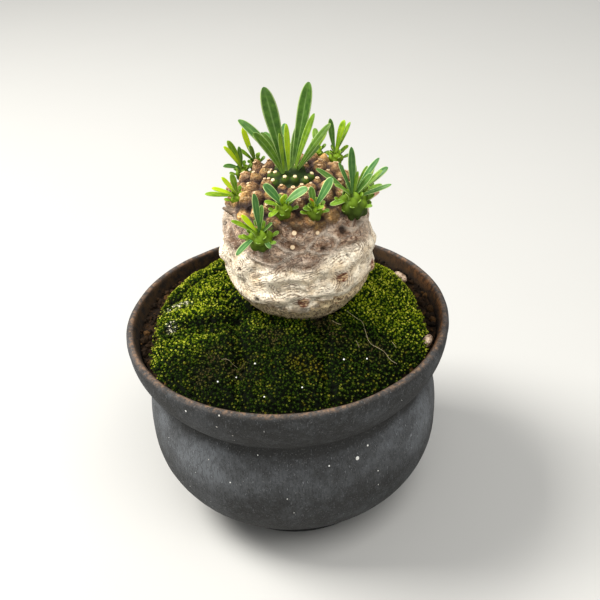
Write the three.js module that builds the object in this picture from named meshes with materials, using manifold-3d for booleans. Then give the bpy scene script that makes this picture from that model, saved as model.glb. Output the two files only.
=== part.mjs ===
// Potted gabizan euphorbia: a barrel-shaped caudex with spiral tubercles, a rosette of spoon leaves,
// leafy side shoots, moss cushions on soil, and a flared dark pot.
// Millimetres, +Z up. The origin is the middle of the pot's foot, on the surface it stands on.
import * as THREE from "three";
import { mergeVertices } from "three/addons/utils/BufferGeometryUtils.js";
import Module from "manifold-3d";

const wasm = await Module();
wasm.setup();

// Driving dimensions
const RIM_RADIUS = 50;
const RIM_HEIGHT = 66.4;
const NECK_RADIUS = 43;
const NECK_HEIGHT = 49.2;
const BELLY_RADIUS = 46.4;
const BELLY_HEIGHT = 31;
const BELLY_ROUNDNESS = 2.33;
const FOOT_RADIUS = 30;
const FOOT_HEIGHT = 4.6;
const FOOT_RECESS_RADIUS = 24;
const FOOT_RECESS_DEPTH = 2.4;
const WALL = 3.2;
const FLOOR_TOP = 7.5;
const DRAIN_RADIUS = 5;
const SOIL_HEIGHT = 62.2;
const MOSS_EDGE_HEIGHT = 65.4;
const MOSS_DOME = 9;
const CAUDEX_X = 5;
const CAUDEX_Y = 3;
const CAUDEX_RADIUS = 21.9;
const CAUDEX_WAIST = 83.8;
const CAUDEX_RISE = 26.8;
const CAUDEX_FALL = 18.1;
const CROWN_X = 3.5;
const CROWN_Y = 2.4;
const CROWN_RADIUS = 7.4;
const CROWN_HALF_HEIGHT = 4.4;
const CROWN_HEIGHT = 108.2;
const GAP = 0.35;
const GOLDEN_ANGLE = Math.PI * (3 - Math.sqrt(5));

const radians = THREE.MathUtils.degToRad;
const smooth = (value) => THREE.MathUtils.smoothstep(value, 0, 1);

// One finish for each kind of piece
const finish = (color, roughness) => new THREE.MeshStandardMaterial({ color, roughness, metalness: 0 });
const charcoalClay = finish(0x45464a, 0.85);
const darkSoil = finish(0x2c211a, 1);
const blackPlastic = finish(0x1c1c1c, 0.6);
const mossGreen = finish(0x2f4a12, 1);
const paleBark = finish(0xc9b69c, 0.9);
const leafGreen = finish(0x4d7f36, 0.55);
const shootGreen = finish(0x6b9a3a, 0.6);
const tanStone = finish(0xa08a70, 0.8);
const witheredBrown = finish(0x6d4a36, 0.9);

// A closed geometry as a solid that can be joined and cut, and back again
function solidOf(geometry) {
  const bare = geometry.clone();
  bare.deleteAttribute("normal");
  bare.deleteAttribute("uv");
  const merged = mergeVertices(bare, 1e-4);
  const vertProperties = new Float32Array(merged.attributes.position.array);
  const triVerts = new Uint32Array(merged.index.array);
  return new wasm.Manifold(new wasm.Mesh({ numProp: 3, vertProperties, triVerts }));
}

function geometryOf(solid) {
  const mesh = solid.getMesh();
  const geometry = new THREE.BufferGeometry();
  geometry.setAttribute("position", new THREE.BufferAttribute(mesh.vertProperties, 3));
  geometry.setIndex(new THREE.BufferAttribute(mesh.triVerts, 1));
  geometry.computeVertexNormals();
  return geometry;
}

function fuse(geometries) {
  return geometries.map(solidOf).reduce((whole, piece) => whole.add(piece));
}

function piece(name, geometry, material) {
  const mesh = new THREE.Mesh(geometry, material);
  mesh.name = name;
  return mesh;
}

// Moves every vertex to where the rule puts it
function reshape(geometry, rule) {
  const position = geometry.attributes.position;
  const point = new THREE.Vector3();
  for (let i = 0; i < position.count; i += 1) {
    point.fromBufferAttribute(position, i);
    rule(point, i);
    position.setXYZ(i, point.x, point.y, point.z);
  }
  return geometry;
}

// A profile of (radius, height) points turned round the Z axis
function turned(profile, segments) {
  const geometry = new THREE.LatheGeometry(profile, segments);
  return geometry.rotateX(Math.PI / 2);
}

// Repeatable random numbers from 0 to 1
function randomFrom(seed) {
  let state = seed;
  return () => {
    state = (state * 16807) % 2147483647;
    return state / 2147483647;
  };
}

// Pot: a flared lip, a neck, a round belly and a foot ring with a drain hole
function bellyRadius(height) {
  if (height > BELLY_HEIGHT) {
    const rise = (height - BELLY_HEIGHT) / (NECK_HEIGHT - BELLY_HEIGHT);
    return BELLY_RADIUS - (BELLY_RADIUS - NECK_RADIUS) * rise ** 2.6;
  }
  const drop = (BELLY_HEIGHT - height) / (BELLY_HEIGHT + 0.5);
  return BELLY_RADIUS * (1 - drop ** BELLY_ROUNDNESS) ** (1 / BELLY_ROUNDNESS);
}

function flareRadius(height) {
  const rise = (height - NECK_HEIGHT) / (RIM_HEIGHT - 3 - NECK_HEIGHT);
  return NECK_RADIUS + (RIM_RADIUS - 0.2 - NECK_RADIUS) * Math.sin((rise * Math.PI) / 2) ** 0.85;
}

function outerRadius(height) {
  return height > NECK_HEIGHT ? flareRadius(height) : bellyRadius(height);
}

function innerRadius(height) {
  return outerRadius(height) - WALL;
}

const heights = (from, to, steps) =>
  Array.from({ length: steps + 1 }, (_, i) => THREE.MathUtils.lerp(from, to, i / steps));

const WALL_FOOT = 12;
const WALL_STEPS = [57, 51, NECK_HEIGHT, 44, 32, 20, WALL_FOOT];

function potGeometry() {
  const outside = heights(FOOT_HEIGHT, NECK_HEIGHT, 7).map((z) => new THREE.Vector2(outerRadius(z), z));
  const flare = heights(NECK_HEIGHT + 2, RIM_HEIGHT - 3, 3).map((z) => new THREE.Vector2(outerRadius(z), z));
  const inside = [62, ...WALL_STEPS].map((z) => new THREE.Vector2(innerRadius(z), z));
  const profile = [
    new THREE.Vector2(DRAIN_RADIUS, FOOT_RECESS_DEPTH),
    new THREE.Vector2(FOOT_RECESS_RADIUS, FOOT_RECESS_DEPTH),
    new THREE.Vector2(FOOT_RECESS_RADIUS + 0.6, 0),
    new THREE.Vector2(FOOT_RADIUS - 0.6, 0),
    new THREE.Vector2(FOOT_RADIUS, 0.8),
    ...outside,
    ...flare,
    new THREE.Vector2(RIM_RADIUS, RIM_HEIGHT - 1.2),
    new THREE.Vector2(RIM_RADIUS - 0.7, RIM_HEIGHT - 0.2),
    new THREE.Vector2(RIM_RADIUS - 1.6, RIM_HEIGHT),
    new THREE.Vector2(RIM_RADIUS - 2.7, RIM_HEIGHT - 0.7),
    ...inside,
    new THREE.Vector2(innerRadius(WALL_FOOT) - 3, FLOOR_TOP),
    new THREE.Vector2(DRAIN_RADIUS, FLOOR_TOP),
    new THREE.Vector2(DRAIN_RADIUS, FOOT_RECESS_DEPTH),
  ];
  return turned(profile, 40);
}

// Drain mesh: a square plastic lattice over the hole, which keeps the soil in
const MESH_SIDE = 20;
const MESH_THICKNESS = 1.2;
const MESH_BAR = 1.5;
const MESH_BARS = 4;

function drainMeshGeometry() {
  const pitch = (MESH_SIDE - MESH_BAR) / (MESH_BARS - 1);
  const z = FLOOR_TOP + GAP + MESH_THICKNESS / 2;
  const bars = [];
  for (let i = 0; i < MESH_BARS; i += 1) {
    const across = i * pitch - (MESH_SIDE - MESH_BAR) / 2;
    bars.push(new THREE.BoxGeometry(MESH_SIDE, MESH_BAR, MESH_THICKNESS).translate(0, across, z));
    bars.push(new THREE.BoxGeometry(MESH_BAR, MESH_SIDE, MESH_THICKNESS).translate(across, 0, z));
  }
  return geometryOf(fuse(bars));
}

// Soil: fills the pot to just under the lip, with coarse grains at its surface
function grain(x, y, z, size, random) {
  const geometry = new THREE.IcosahedronGeometry(size, 0);
  geometry.scale(1 + 0.3 * random(), 0.8 + 0.3 * random(), 0.7 + 0.3 * random());
  return geometry.rotateZ(6 * random()).rotateX(random()).translate(x, y, z);
}

function soilSolid() {
  const bottom = FLOOR_TOP + GAP;
  const edge = [...WALL_STEPS.toReversed(), SOIL_HEIGHT];
  const profile = [
    new THREE.Vector2(0, bottom),
    new THREE.Vector2(innerRadius(WALL_FOOT) - 3.3, bottom),
    ...edge.map((z) => new THREE.Vector2(innerRadius(z) - GAP, z)),
    new THREE.Vector2(0, SOIL_HEIGHT),
  ];
  const random = randomFrom(7);
  const grains = [];
  for (let i = 0; i < 18; i += 1) {
    const angle = radians(-20 + 12.4 * i + 5 * random());
    const r = 43 + 1.6 * random();
    const size = 0.8 + 0.7 * random();
    const x = r * Math.cos(angle);
    const y = r * Math.sin(angle);
    const next = grain(x, y, SOIL_HEIGHT + 0.3 * size, size, random);
    if (STONES.every((each) => Math.hypot(x - each.x, y - each.y) > STONE_REACH)) grains.push(next);
  }
  const meshRoom = new THREE.BoxGeometry(MESH_SIDE + 1, MESH_SIDE + 1, 2 * MESH_THICKNESS);
  meshRoom.translate(0, 0, bottom + GAP);
  return fuse([turned(profile, 28), ...grains]).subtract(solidOf(meshRoom));
}

// Two loose stones on the soil, pressed into the edge of the moss; each half is half its length, width and height
const STONES = [
  { name: "stone_back_right", x: 38.2, y: 18.2, half: [2.9, 1.6, 1.7], turn: -63 },
  { name: "stone_right", x: 41.0, y: -17.8, half: [2.6, 1.5, 1.7], turn: -114 },
];
const STONE_ROOM = 1.3;
const STONE_REACH = 4;

function stone({ x, y, half, turn }, size = 1, detail = 1) {
  const geometry = new THREE.IcosahedronGeometry(size, detail);
  geometry.scale(...half).rotateZ(radians(turn));
  return geometry.translate(x, y, SOIL_HEIGHT + GAP + half[2]);
}

// A room in the moss round each stone
function besideStones(moss) {
  return STONES.reduce((rest, each) => rest.subtract(solidOf(stone(each, STONE_ROOM, 0))), moss);
}

// Moss: cushions that meet in creases, each higher than its own edges
const MOSS_CUSHIONS = [
  { name: "moss_cushion_left", x: -26, y: 5, reach: 45 },
  { name: "moss_cushion_front_left", x: -26, y: -22, reach: 45 },
  { name: "moss_cushion_front", x: -4, y: -23, reach: 45 },
  { name: "moss_cushion_right", x: 22, y: -23, reach: 45 },
  { name: "moss_cushion_back_left", x: -34, y: 13.5, reach: 44.3 },
  { name: "moss_cushion_back", x: 4, y: 33, reach: 30 },
];
const MOSS_COLLAR = 17.1;
const MOSS_SEGMENTS = 24;

function bedRadius(angle) {
  return 40.8 + 5.1 * smooth(-Math.sin(angle) / 0.6);
}

function mossHeight(x, y) {
  const r = Math.hypot(x, y) / RIM_RADIUS;
  return MOSS_EDGE_HEIGHT + MOSS_DOME * (1 - r * r);
}

function nearestCushion(x, y) {
  const power = (c) => (x - c.x) ** 2 + (y - c.y) ** 2 - c.reach ** 2;
  return MOSS_CUSHIONS.reduce((best, c) => (power(c) < power(best) ? c : best));
}

// How far a cushion reaches from its own centre along an angle
function cushionReach(cushion, angle) {
  const step = 0.1;
  for (let reach = step; ; reach += step) {
    const x = cushion.x + reach * Math.cos(angle);
    const y = cushion.y + reach * Math.sin(angle);
    const outside = Math.hypot(x, y) > bedRadius(Math.atan2(y, x));
    const inCaudex = Math.hypot(x - CAUDEX_X, y - CAUDEX_Y) < MOSS_COLLAR;
    if (outside || inCaudex || nearestCushion(x, y) !== cushion) return reach - step - 0.25;
  }
}

// The angle within half a step where the cushion reaches furthest, so that its corners are kept
function cornerAngle(cushion, angle) {
  const half = Math.PI / MOSS_SEGMENTS;
  const reachAt = (turn) => cushionReach(cushion, turn);
  const tries = heights(angle - half, angle + half, 8);
  return tries.reduce((best, turn) => (reachAt(turn) > reachAt(best) + 0.05 ? turn : best), angle);
}

// The lathe's radius is the share of the reach, and its height the share of the moss's thickness
function mossGeometry(cushion) {
  const profile = [
    [0, 0],
    [0.9, 0],
    [1, 0.45],
    [0.95, 0.78],
    [0.82, 0.93],
    [0.5, 1],
    [0, 1.04],
  ].map(([share, level]) => new THREE.Vector2(share, level));
  return reshape(turned(profile, MOSS_SEGMENTS), (point) => {
    const share = Math.hypot(point.x, point.y);
    const angle = cornerAngle(cushion, Math.atan2(point.y, point.x));
    const reach = share * cushionReach(cushion, angle);
    const level = point.z;
    const x = cushion.x + reach * Math.cos(angle);
    const y = cushion.y + reach * Math.sin(angle);
    point.set(x, y, THREE.MathUtils.lerp(SOIL_HEIGHT + GAP, mossHeight(x, y), level));
  });
}

// Caudex: a barrel whose flat shoulder and upper side carry tubercles in golden-angle spirals
const CAUDEX_TOP = CAUDEX_WAIST + CAUDEX_RISE;

function barrelRadius(height) {
  const above = height > CAUDEX_WAIST;
  const share = Math.abs(height - CAUDEX_WAIST) / (above ? CAUDEX_RISE : CAUDEX_FALL);
  const roundness = above ? 3.3 : 1.95;
  return CAUDEX_RADIUS * Math.max(0, 1 - share ** roundness) ** (1 / roundness);
}

// The outline from the taproot's end up to the crown, evenly spaced over the barrel
function barkProfile(steps) {
  const shoulder = heights(0, 1, 12).map((t) => {
    const z = CAUDEX_WAIST + CAUDEX_RISE * Math.sin((t * Math.PI) / 2) ** 0.606;
    return new THREE.Vector2(barrelRadius(z), z);
  });
  const under = heights(72, CAUDEX_WAIST, 5).map((z) => new THREE.Vector2(barrelRadius(z), z));
  const outline = new THREE.SplineCurve([...under, ...shoulder.slice(1)]).getSpacedPoints(steps);
  outline.at(-1).x = 0;
  return [...taproot(), ...outline];
}

// The root neck under the barrel, hidden in moss and soil
function taproot() {
  return [
    [0, 44],
    [4.4, 45],
    [7, 56],
    [10, 66],
  ].map(([r, z]) => new THREE.Vector2(r, z));
}

// Tubercles march down from the crown, one to each cell of the skin
function spiralTubercles({ from, to, radiusAt, cellAt, heightAt }) {
  const knobs = [];
  let along = from;
  let turn = 0.4;
  while (along < to) {
    const cell = cellAt(along);
    knobs.push({ along, turn, width: Math.sqrt(cell) * 0.62, height: heightAt(along) });
    along += cell / (2 * Math.PI * radiusAt(along));
    turn += GOLDEN_ANGLE;
  }
  return knobs;
}

function knobLift(knobs, along, turn, radius) {
  let lift = 0;
  for (const knob of knobs) {
    const down = along - knob.along;
    if (Math.abs(down) > knob.width) continue;
    const round = THREE.MathUtils.euclideanModulo(turn - knob.turn + Math.PI, 2 * Math.PI) - Math.PI;
    const away = Math.hypot(down, round * radius) / knob.width;
    if (away < 1) lift = Math.max(lift, knob.height * (1 - away ** 1.6));
  }
  return lift;
}

// A turned body whose skin is raised along its own normal by a rule of arc length and turn
function raisedBody(profile, segments, liftAt) {
  const arc = [0];
  for (let i = profile.length - 1; i > 0; i -= 1) {
    arc.push(arc.at(-1) + profile[i].distanceTo(profile[i - 1]));
  }
  arc.reverse();
  const normals = profile.map((_, i) => {
    const before = profile[Math.max(0, i - 1)];
    const after = profile[Math.min(profile.length - 1, i + 1)];
    return new THREE.Vector2(after.y - before.y, before.x - after.x).normalize();
  });
  return reshape(turned(profile, segments), (point, index) => {
    const i = index % profile.length;
    const radius = profile[i].x;
    if (radius < 0.01) return;
    const turn = Math.atan2(point.y, point.x);
    const lift = liftAt(arc[i], turn, radius);
    const out = (radius + lift * normals[i].x) / radius;
    point.set(point.x * out, point.y * out, point.z + lift * normals[i].y);
  });
}

// Bulges and folds of the bark round the barrel
function barkSwell(height, turn) {
  const low = 1 - smooth((height - 88) / 12);
  const folds = 0.35 * Math.sin(0.85 * height + 1.6 * Math.sin(2 * turn + 0.5));
  const lobes = 0.4 * Math.cos(3 * turn + 0.08 * height) + 0.3 * Math.cos(5 * turn - 0.1 * height);
  return low * folds + lobes;
}

function caudexSolid() {
  const profile = barkProfile(29);
  const shoulderArc = 24;
  const knobs = spiralTubercles({
    from: 8.6,
    to: 37,
    radiusAt: (along) => Math.min(CAUDEX_RADIUS, along),
    cellAt: (along) => THREE.MathUtils.lerp(15, 44, smooth((along - 12) / 20)),
    heightAt: (along) => THREE.MathUtils.lerp(2.3, 0.7, smooth((along - shoulderArc + 8) / 12)),
  });
  const bark = raisedBody(profile, 56, (along, turn, radius) => {
    const height = CAUDEX_TOP - Math.max(0, along - 15);
    const swell = along > 50 ? 0 : barkSwell(height, turn) * smooth((along - 10) / 10);
    return knobLift(knobs, along, turn, radius) + swell * (1 - smooth((along - 44) / 6));
  });
  return solidOf(bark.translate(CAUDEX_X, CAUDEX_Y, 0));
}

// Roots: five tapered cords that run out from the foot of the caudex into the soil
function rootGeometries(extra) {
  return heights(0, 4, 4).map((i) => {
    const turn = 0.5 + i * 1.257;
    const reach = 19 + 3 * Math.sin(2.3 * i);
    const root = new THREE.CylinderGeometry(2.1 + extra, 0.9 + extra, 1, 6, 4);
    return reshape(root, (point) => {
      const run = (0.5 - point.y) * (reach + 2 * extra);
      const out = 5 + run;
      const droop = 57 - 20 * (run / reach) ** 2;
      const side = point.x;
      const lift = point.z;
      const x = CAUDEX_X + out * Math.cos(turn) - side * Math.sin(turn);
      const y = CAUDEX_Y + out * Math.sin(turn) + side * Math.cos(turn);
      point.set(x, y, droop + lift);
    });
  });
}

// Leaf: a spoon-shaped blade that bends outwards, narrow at its foot and rounded near its tip
const LEAF_THICKNESS = 0.8;
const CHANNEL = 0.25;
const LEAF_SIDES = 4;
const LEAF_RINGS = 6;

function spoonWidth(share) {
  const swell = 0.3 + 0.7 * smooth(share / 0.72);
  const tip = THREE.MathUtils.clamp((share - 0.7) / 0.3, 0, 1);
  return swell * Math.sqrt(1 - tip ** 2.4);
}

// Blades turn their upper faces mostly to the light, which comes from the front and above
const LIGHT = new THREE.Vector3(0, -0.68, 0.73);
const LIGHT_PULL = 2.4;

function leafGeometry(foot, [turnDegrees, leanDegrees, length, width, bendDegrees]) {
  const turn = radians(turnDegrees);
  const bend = radians(bendDegrees);
  const start = radians(leanDegrees) - bend / 2;
  const outward = new THREE.Vector3(Math.cos(turn), Math.sin(turn), 0);
  const up = new THREE.Vector3(0, 0, 1);
  const along = (angle) =>
    new THREE.Vector3().addScaledVector(outward, Math.sin(angle)).addScaledVector(up, Math.cos(angle));
  return reshape(new THREE.SphereGeometry(1, LEAF_SIDES, LEAF_RINGS), (point) => {
    const polar = Math.acos(THREE.MathUtils.clamp(point.y, -1, 1));
    const share = 1 - (1 - polar / Math.PI) ** 1.7;
    const ring = Math.max(Math.sin(polar), 1e-6);
    const half = (bend * share) / 2;
    const chord = length * share * (Math.abs(half) < 1e-6 ? 1 : Math.sin(half) / half);
    const heading = along(start + bend * share);
    const face = along(start + bend * share - Math.PI / 2).addScaledVector(LIGHT, LIGHT_PULL);
    face.addScaledVector(heading, -face.dot(heading)).normalize();
    const side = new THREE.Vector3().crossVectors(face, heading);
    const open = share > 0 && share < 1 ? 1 : 0;
    const across = (open * (point.x / ring) * width * spoonWidth(share)) / 2;
    const thick = open * (point.z / ring) * LEAF_THICKNESS * 0.58 * Math.min(1, ring * 1.6);
    point.copy(foot).addScaledVector(along(start + half), chord);
    point.addScaledVector(side, across).addScaledVector(face, thick + CHANNEL * Math.abs(across));
  });
}

// Crown: a green growing point with small tubercles and the rosette of long leaves
// Each leaf is its turn and lean in degrees, its length and width, and its bend in degrees
const CROWN_LEAVES = [
  [120, 21, 26, 4.5, 4],
  [50, 23, 27, 3.9, -4],
  [163, 36, 21.5, 3, 34],
  [193, 28, 17.5, 3.5, 22],
  [127, 44, 15, 2.4, 20],
  [84, 7, 15.5, 1.7, 0],
  [170, 3, 14, 1.4, 0],
  [7, 21, 20, 2.2, 8],
  [9, 38, 19, 2.5, 10],
  [66, 38, 16, 2.8, 20],
  [98, 50, 14, 2.6, 26],
  [30, 54, 12, 2.2, 20],
];
const CROWN_FOOT_OUT = 1.2;
const CROWN_FOOT_RISE = 2.6;

function crownSolid() {
  const arc = heights(-1, 1, 10).map((t) => {
    const polar = (t * Math.PI) / 2;
    return new THREE.Vector2(Math.abs(Math.cos(polar)) * CROWN_RADIUS, Math.sin(polar) * CROWN_HALF_HEIGHT);
  });
  arc[0].x = 0;
  arc.at(-1).x = 0;
  const knobs = spiralTubercles({
    from: 2.2,
    to: 7.4,
    radiusAt: (along) => along,
    cellAt: () => 8,
    heightAt: (along) => THREE.MathUtils.lerp(1.4, 0.3, smooth((along - 4) / 4)),
  });
  const dome = raisedBody(arc, 28, (along, turn, radius) => knobLift(knobs, along, turn, radius));
  dome.translate(CROWN_X, CROWN_Y, CROWN_HEIGHT);
  const leaves = CROWN_LEAVES.map((leaf) => {
    const turn = radians(leaf[0]);
    const foot = new THREE.Vector3(Math.cos(turn), Math.sin(turn), 0).multiplyScalar(CROWN_FOOT_OUT);
    foot.add(new THREE.Vector3(CROWN_X, CROWN_Y, CROWN_HEIGHT + CROWN_FOOT_RISE));
    return leafGeometry(foot, leaf);
  });
  return fuse([dome, ...leaves]);
}

// Side shoots: a short green body seated in the bark, with its own small leaves
// The seat is the body's turn round the caudex, its distance out and its height
const SHOOTS = [
  {
    name: "shoot_upper_left",
    seat: [144, 18.6, 107.9],
    body: [2, 2.4],
    leaves: [
      [180, 20, 10.5, 2.4, 12],
      [206, 30, 10.5, 2, 16],
      [110, 8, 7.5, 1.5, 0],
      [210, 63, 7, 1.8, 40],
    ],
  },
  {
    name: "shoot_back_left",
    seat: [129, 17.4, 109],
    body: [1.8, 2.2],
    leaves: [
      [162, 16, 11.5, 2, -8],
      [222, 20, 6.5, 2.8, 10],
      [176, 44, 6.5, 1.4, 8],
      [60, 50, 3.5, 1.2, 0],
    ],
  },
  {
    name: "shoot_left",
    seat: [195, 17, 107.2],
    body: [2.1, 2.4],
    leaves: [
      [140, 14, 7, 1.9, 6],
      [196, 31, 8, 1.7, 4],
      [206, 58, 9, 1.7, 10],
      [190, 76, 9.5, 1.7, 6],
      [246, 37, 5.5, 1.3, 0],
    ],
  },
  {
    name: "shoot_front_left",
    seat: [239, 21, 101.5],
    body: [3.5, 3.1],
    leaves: [
      [241, 6, 13.5, 2.4, -4],
      [28, 10, 9, 1.8, 10],
      [-39, 44, 7, 1.7, 8],
      [209, 49, 11, 1.7, 10],
      [203, 33, 9, 2.1, 0],
      [223, 104, 9.5, 1.8, 30],
      [-58, 112, 5.5, 1.5, 30],
    ],
  },
  {
    name: "shoot_front",
    seat: [256, 16.2, 108.7],
    body: [2.3, 2.8],
    leaves: [
      [180, 35, 8.5, 3.1, 14],
      [-8, 53, 9, 2.9, 20],
      [-81, 27, 5, 2.4, 0],
      [202, 62, 6, 1.6, 10],
      [222, 100, 5.5, 1.6, 10],
    ],
  },
  {
    name: "shoot_front_right",
    seat: [285, 17.4, 107.9],
    body: [2.1, 2.6],
    leaves: [
      [0, 31, 10.5, 2.9, -6],
      [121, 10, 6.5, 1.9, 8],
      [-104, 33, 5.6, 1.6, 0],
      [225, 68, 4.6, 1.5, 0],
      [-52, 64, 4.6, 1.5, 0],
    ],
  },
  {
    name: "shoot_right",
    seat: [326, 19, 106.3],
    body: [4.2, 4],
    leaves: [
      [191, 43, 15, 2, 16],
      [218, 45, 9.5, 1.7, 30],
      [217, 82, 8.5, 1.8, 10],
      [90, 2, 15.5, 2.1, 6],
      [-20, 35, 10, 2.4, 8],
      [-16, 65, 12, 1.6, 0],
      [21, 39, 13.5, 1.8, 16],
      [7, 48, 11.5, 1.4, 0],
      [33, 33, 10, 1.4, 0],
      [76, 18, 10.5, 1.9, 0],
      [163, 19, 11.5, 1.4, 10],
      [-30, 12, 9, 1.5, 0],
    ],
  },
  {
    name: "shoot_back_right",
    seat: [47, 19.2, 109.2],
    body: [2.2, 2.4],
    leaves: [
      [134, 8, 11.5, 2, -10],
      [0, 16, 11.5, 2.4, 4],
      [16, 28, 11, 1.5, 6],
      [-128, 26, 4, 1.4, 0],
      [0, 55, 5, 1.4, 0],
    ],
  },
  {
    name: "shoot_back",
    seat: [65, 18.2, 110.2],
    body: [1.8, 2.2],
    leaves: [
      [0, 26, 7.5, 2.5, 10],
      [180, 18, 4, 1.4, 0],
      [90, 40, 7, 2, 20],
    ],
  },
  {
    name: "shoot_rear",
    seat: [98, 18.6, 106.4],
    body: [2.3, 2.6],
    leaves: [
      [80, 40, 12, 2.6, 20],
      [130, 48, 11, 2.4, 20],
      [30, 45, 10, 2.2, 14],
      [100, 12, 9, 1.8, 0],
    ],
  },
  {
    name: "shoot_rear_right",
    seat: [12, 20.8, 101.5],
    body: [2.3, 2.6],
    leaves: [
      [10, 50, 10, 2.4, 16],
      [60, 56, 9, 2.2, 16],
      [-45, 62, 8, 1.9, 10],
      [10, 22, 8, 1.8, 0],
    ],
  },
];

function seatOf(shoot) {
  const [turnDegrees, out, height] = shoot.seat;
  const turn = radians(turnDegrees);
  return new THREE.Vector3(CAUDEX_X + out * Math.cos(turn), CAUDEX_Y + out * Math.sin(turn), height);
}

const KNOB_LIFT = 0.45;

// The body is an egg with its own small tubercles
function shootBody(shoot) {
  const [radius, half] = shoot.body;
  const profile = heights(-1, 1, 6).map((t) => {
    const polar = (t * Math.PI) / 2;
    return new THREE.Vector2(Math.cos(polar) * radius, Math.sin(polar) * half);
  });
  profile[0].x = 0;
  profile.at(-1).x = 0;
  const knobs = spiralTubercles({
    from: 1,
    to: 2.6 * half,
    radiusAt: () => radius,
    cellAt: () => 0.9 * radius,
    heightAt: () => KNOB_LIFT,
  });
  const body = raisedBody(profile, 10, (along, turn, r) => knobLift(knobs, along, turn, r));
  return body.translate(...seatOf(shoot));
}

// The socket that the body sits in, with room above it for the leaves' feet
function shootSocket(shoot) {
  const [radius, half] = shoot.body;
  const clear = GAP + KNOB_LIFT;
  const eggs = [0, half].map((raise) => {
    const egg = new THREE.SphereGeometry(1, 10, 6).rotateX(Math.PI / 2);
    egg.scale(radius + clear, radius + clear, half + clear);
    return egg.translate(...seatOf(shoot)).translate(0, 0, raise);
  });
  return fuse(eggs);
}

function shootSolid(shoot) {
  const foot = seatOf(shoot);
  foot.z += shoot.body[1] * 0.4;
  const leaves = shoot.leaves.map((leaf) => leafGeometry(foot, leaf));
  return fuse([shootBody(shoot), ...leaves]);
}

// Withered leaf: a curled brown sliver that grows out of the bark beside the right shoot
const WITHERED_FOOT = new THREE.Vector3(24.7, -1.8, 102.8);
const WITHERED_LEAF = [-32, 44, 6.8, 1.6, 24];

function witheredSocket() {
  return solidOf(new THREE.IcosahedronGeometry(1.5, 1).translate(...WITHERED_FOOT));
}

// The plant is cut so that shoots, crown and roots sit in plain sockets
const crownRoom = new THREE.SphereGeometry(1, 28, 10).rotateX(Math.PI / 2);
crownRoom.scale(CROWN_RADIUS + 0.9, CROWN_RADIUS + 0.9, CROWN_HALF_HEIGHT + 0.5);
crownRoom.translate(CROWN_X, CROWN_Y, CROWN_HEIGHT);

const sockets = [...SHOOTS.map(shootSocket), witheredSocket()];
const barrel = caudexSolid();
const roots = fuse(rootGeometries(0));
const rooted = barrel.add(roots).subtract(solidOf(crownRoom));
const caudex = sockets.reduce((bark, socket) => bark.subtract(socket), rooted);

// The soil's room for the foot of the caudex and its roots
const footRoom = turned(
  taproot()
    .map((point) => new THREE.Vector2(point.x + (point.x > 0 ? GAP : 0), point.y - GAP))
    .concat([new THREE.Vector2(15.4, 75), new THREE.Vector2(0, 75)]),
  24,
).translate(CAUDEX_X, CAUDEX_Y, 0);
const soil = soilSolid().subtract(solidOf(footRoom)).subtract(fuse(rootGeometries(GAP)));

const pot = new THREE.Group();
pot.add(piece("pot", potGeometry(), charcoalClay));
pot.add(piece("drain_mesh", drainMeshGeometry(), blackPlastic));

const ground = new THREE.Group();
ground.add(piece("soil", geometryOf(soil), darkSoil));
STONES.forEach((each) => ground.add(piece(each.name, stone(each), tanStone)));
MOSS_CUSHIONS.forEach((cushion) => {
  const moss = besideStones(solidOf(mossGeometry(cushion)));
  ground.add(piece(cushion.name, geometryOf(moss), mossGreen));
});

const plant = new THREE.Group();
plant.add(piece("caudex", geometryOf(caudex), paleBark));
plant.add(piece("crown", geometryOf(crownSolid()), leafGreen));
SHOOTS.forEach((shoot) => plant.add(piece(shoot.name, geometryOf(shootSolid(shoot)), shootGreen)));
plant.add(piece("withered_leaf", leafGeometry(WITHERED_FOOT, WITHERED_LEAF), witheredBrown));

const pottedPlant = new THREE.Group();
pottedPlant.add(pot, ground, plant);

export default pottedPlant;
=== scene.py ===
"""Looks of a potted gabizan euphorbia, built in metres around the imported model.

Sizes in this file are millimetres unless a name says otherwise; each finished mesh is scaled to metres.
"""

import logging
import math
from dataclasses import dataclass, field
from enum import Enum
from typing import Callable, Iterable, Sequence

import bmesh
import bpy
import numpy as np
from bpy.types import Material, Mesh, Node, NodeSocket, Object
from mathutils import Matrix, Vector, noise

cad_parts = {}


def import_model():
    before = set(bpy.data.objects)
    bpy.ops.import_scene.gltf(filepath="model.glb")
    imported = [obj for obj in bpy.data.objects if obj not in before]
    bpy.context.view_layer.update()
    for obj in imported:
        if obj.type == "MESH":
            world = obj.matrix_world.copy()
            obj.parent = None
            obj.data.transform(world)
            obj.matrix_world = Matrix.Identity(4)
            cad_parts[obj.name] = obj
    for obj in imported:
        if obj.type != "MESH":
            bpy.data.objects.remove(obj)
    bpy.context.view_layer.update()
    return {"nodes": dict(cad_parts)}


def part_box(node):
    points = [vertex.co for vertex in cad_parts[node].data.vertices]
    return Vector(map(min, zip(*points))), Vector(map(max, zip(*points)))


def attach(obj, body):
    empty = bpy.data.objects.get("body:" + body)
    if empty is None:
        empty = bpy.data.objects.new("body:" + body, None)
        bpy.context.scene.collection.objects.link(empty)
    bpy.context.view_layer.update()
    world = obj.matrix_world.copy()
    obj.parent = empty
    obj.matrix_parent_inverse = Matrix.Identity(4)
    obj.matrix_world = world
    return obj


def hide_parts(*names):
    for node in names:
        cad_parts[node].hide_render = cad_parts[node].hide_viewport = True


log = logging.getLogger("euphorbia")

MM = 0.001
GOLDEN_ANGLE = math.pi * (3 - math.sqrt(5))
COPIES_AT_ONCE = 64
FAR_AWAY = 99.0
FLESH_COAT = (0.0, 0.0, 1.0)

Pair = tuple[float, float]
Triple = tuple[float, float, float]


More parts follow.
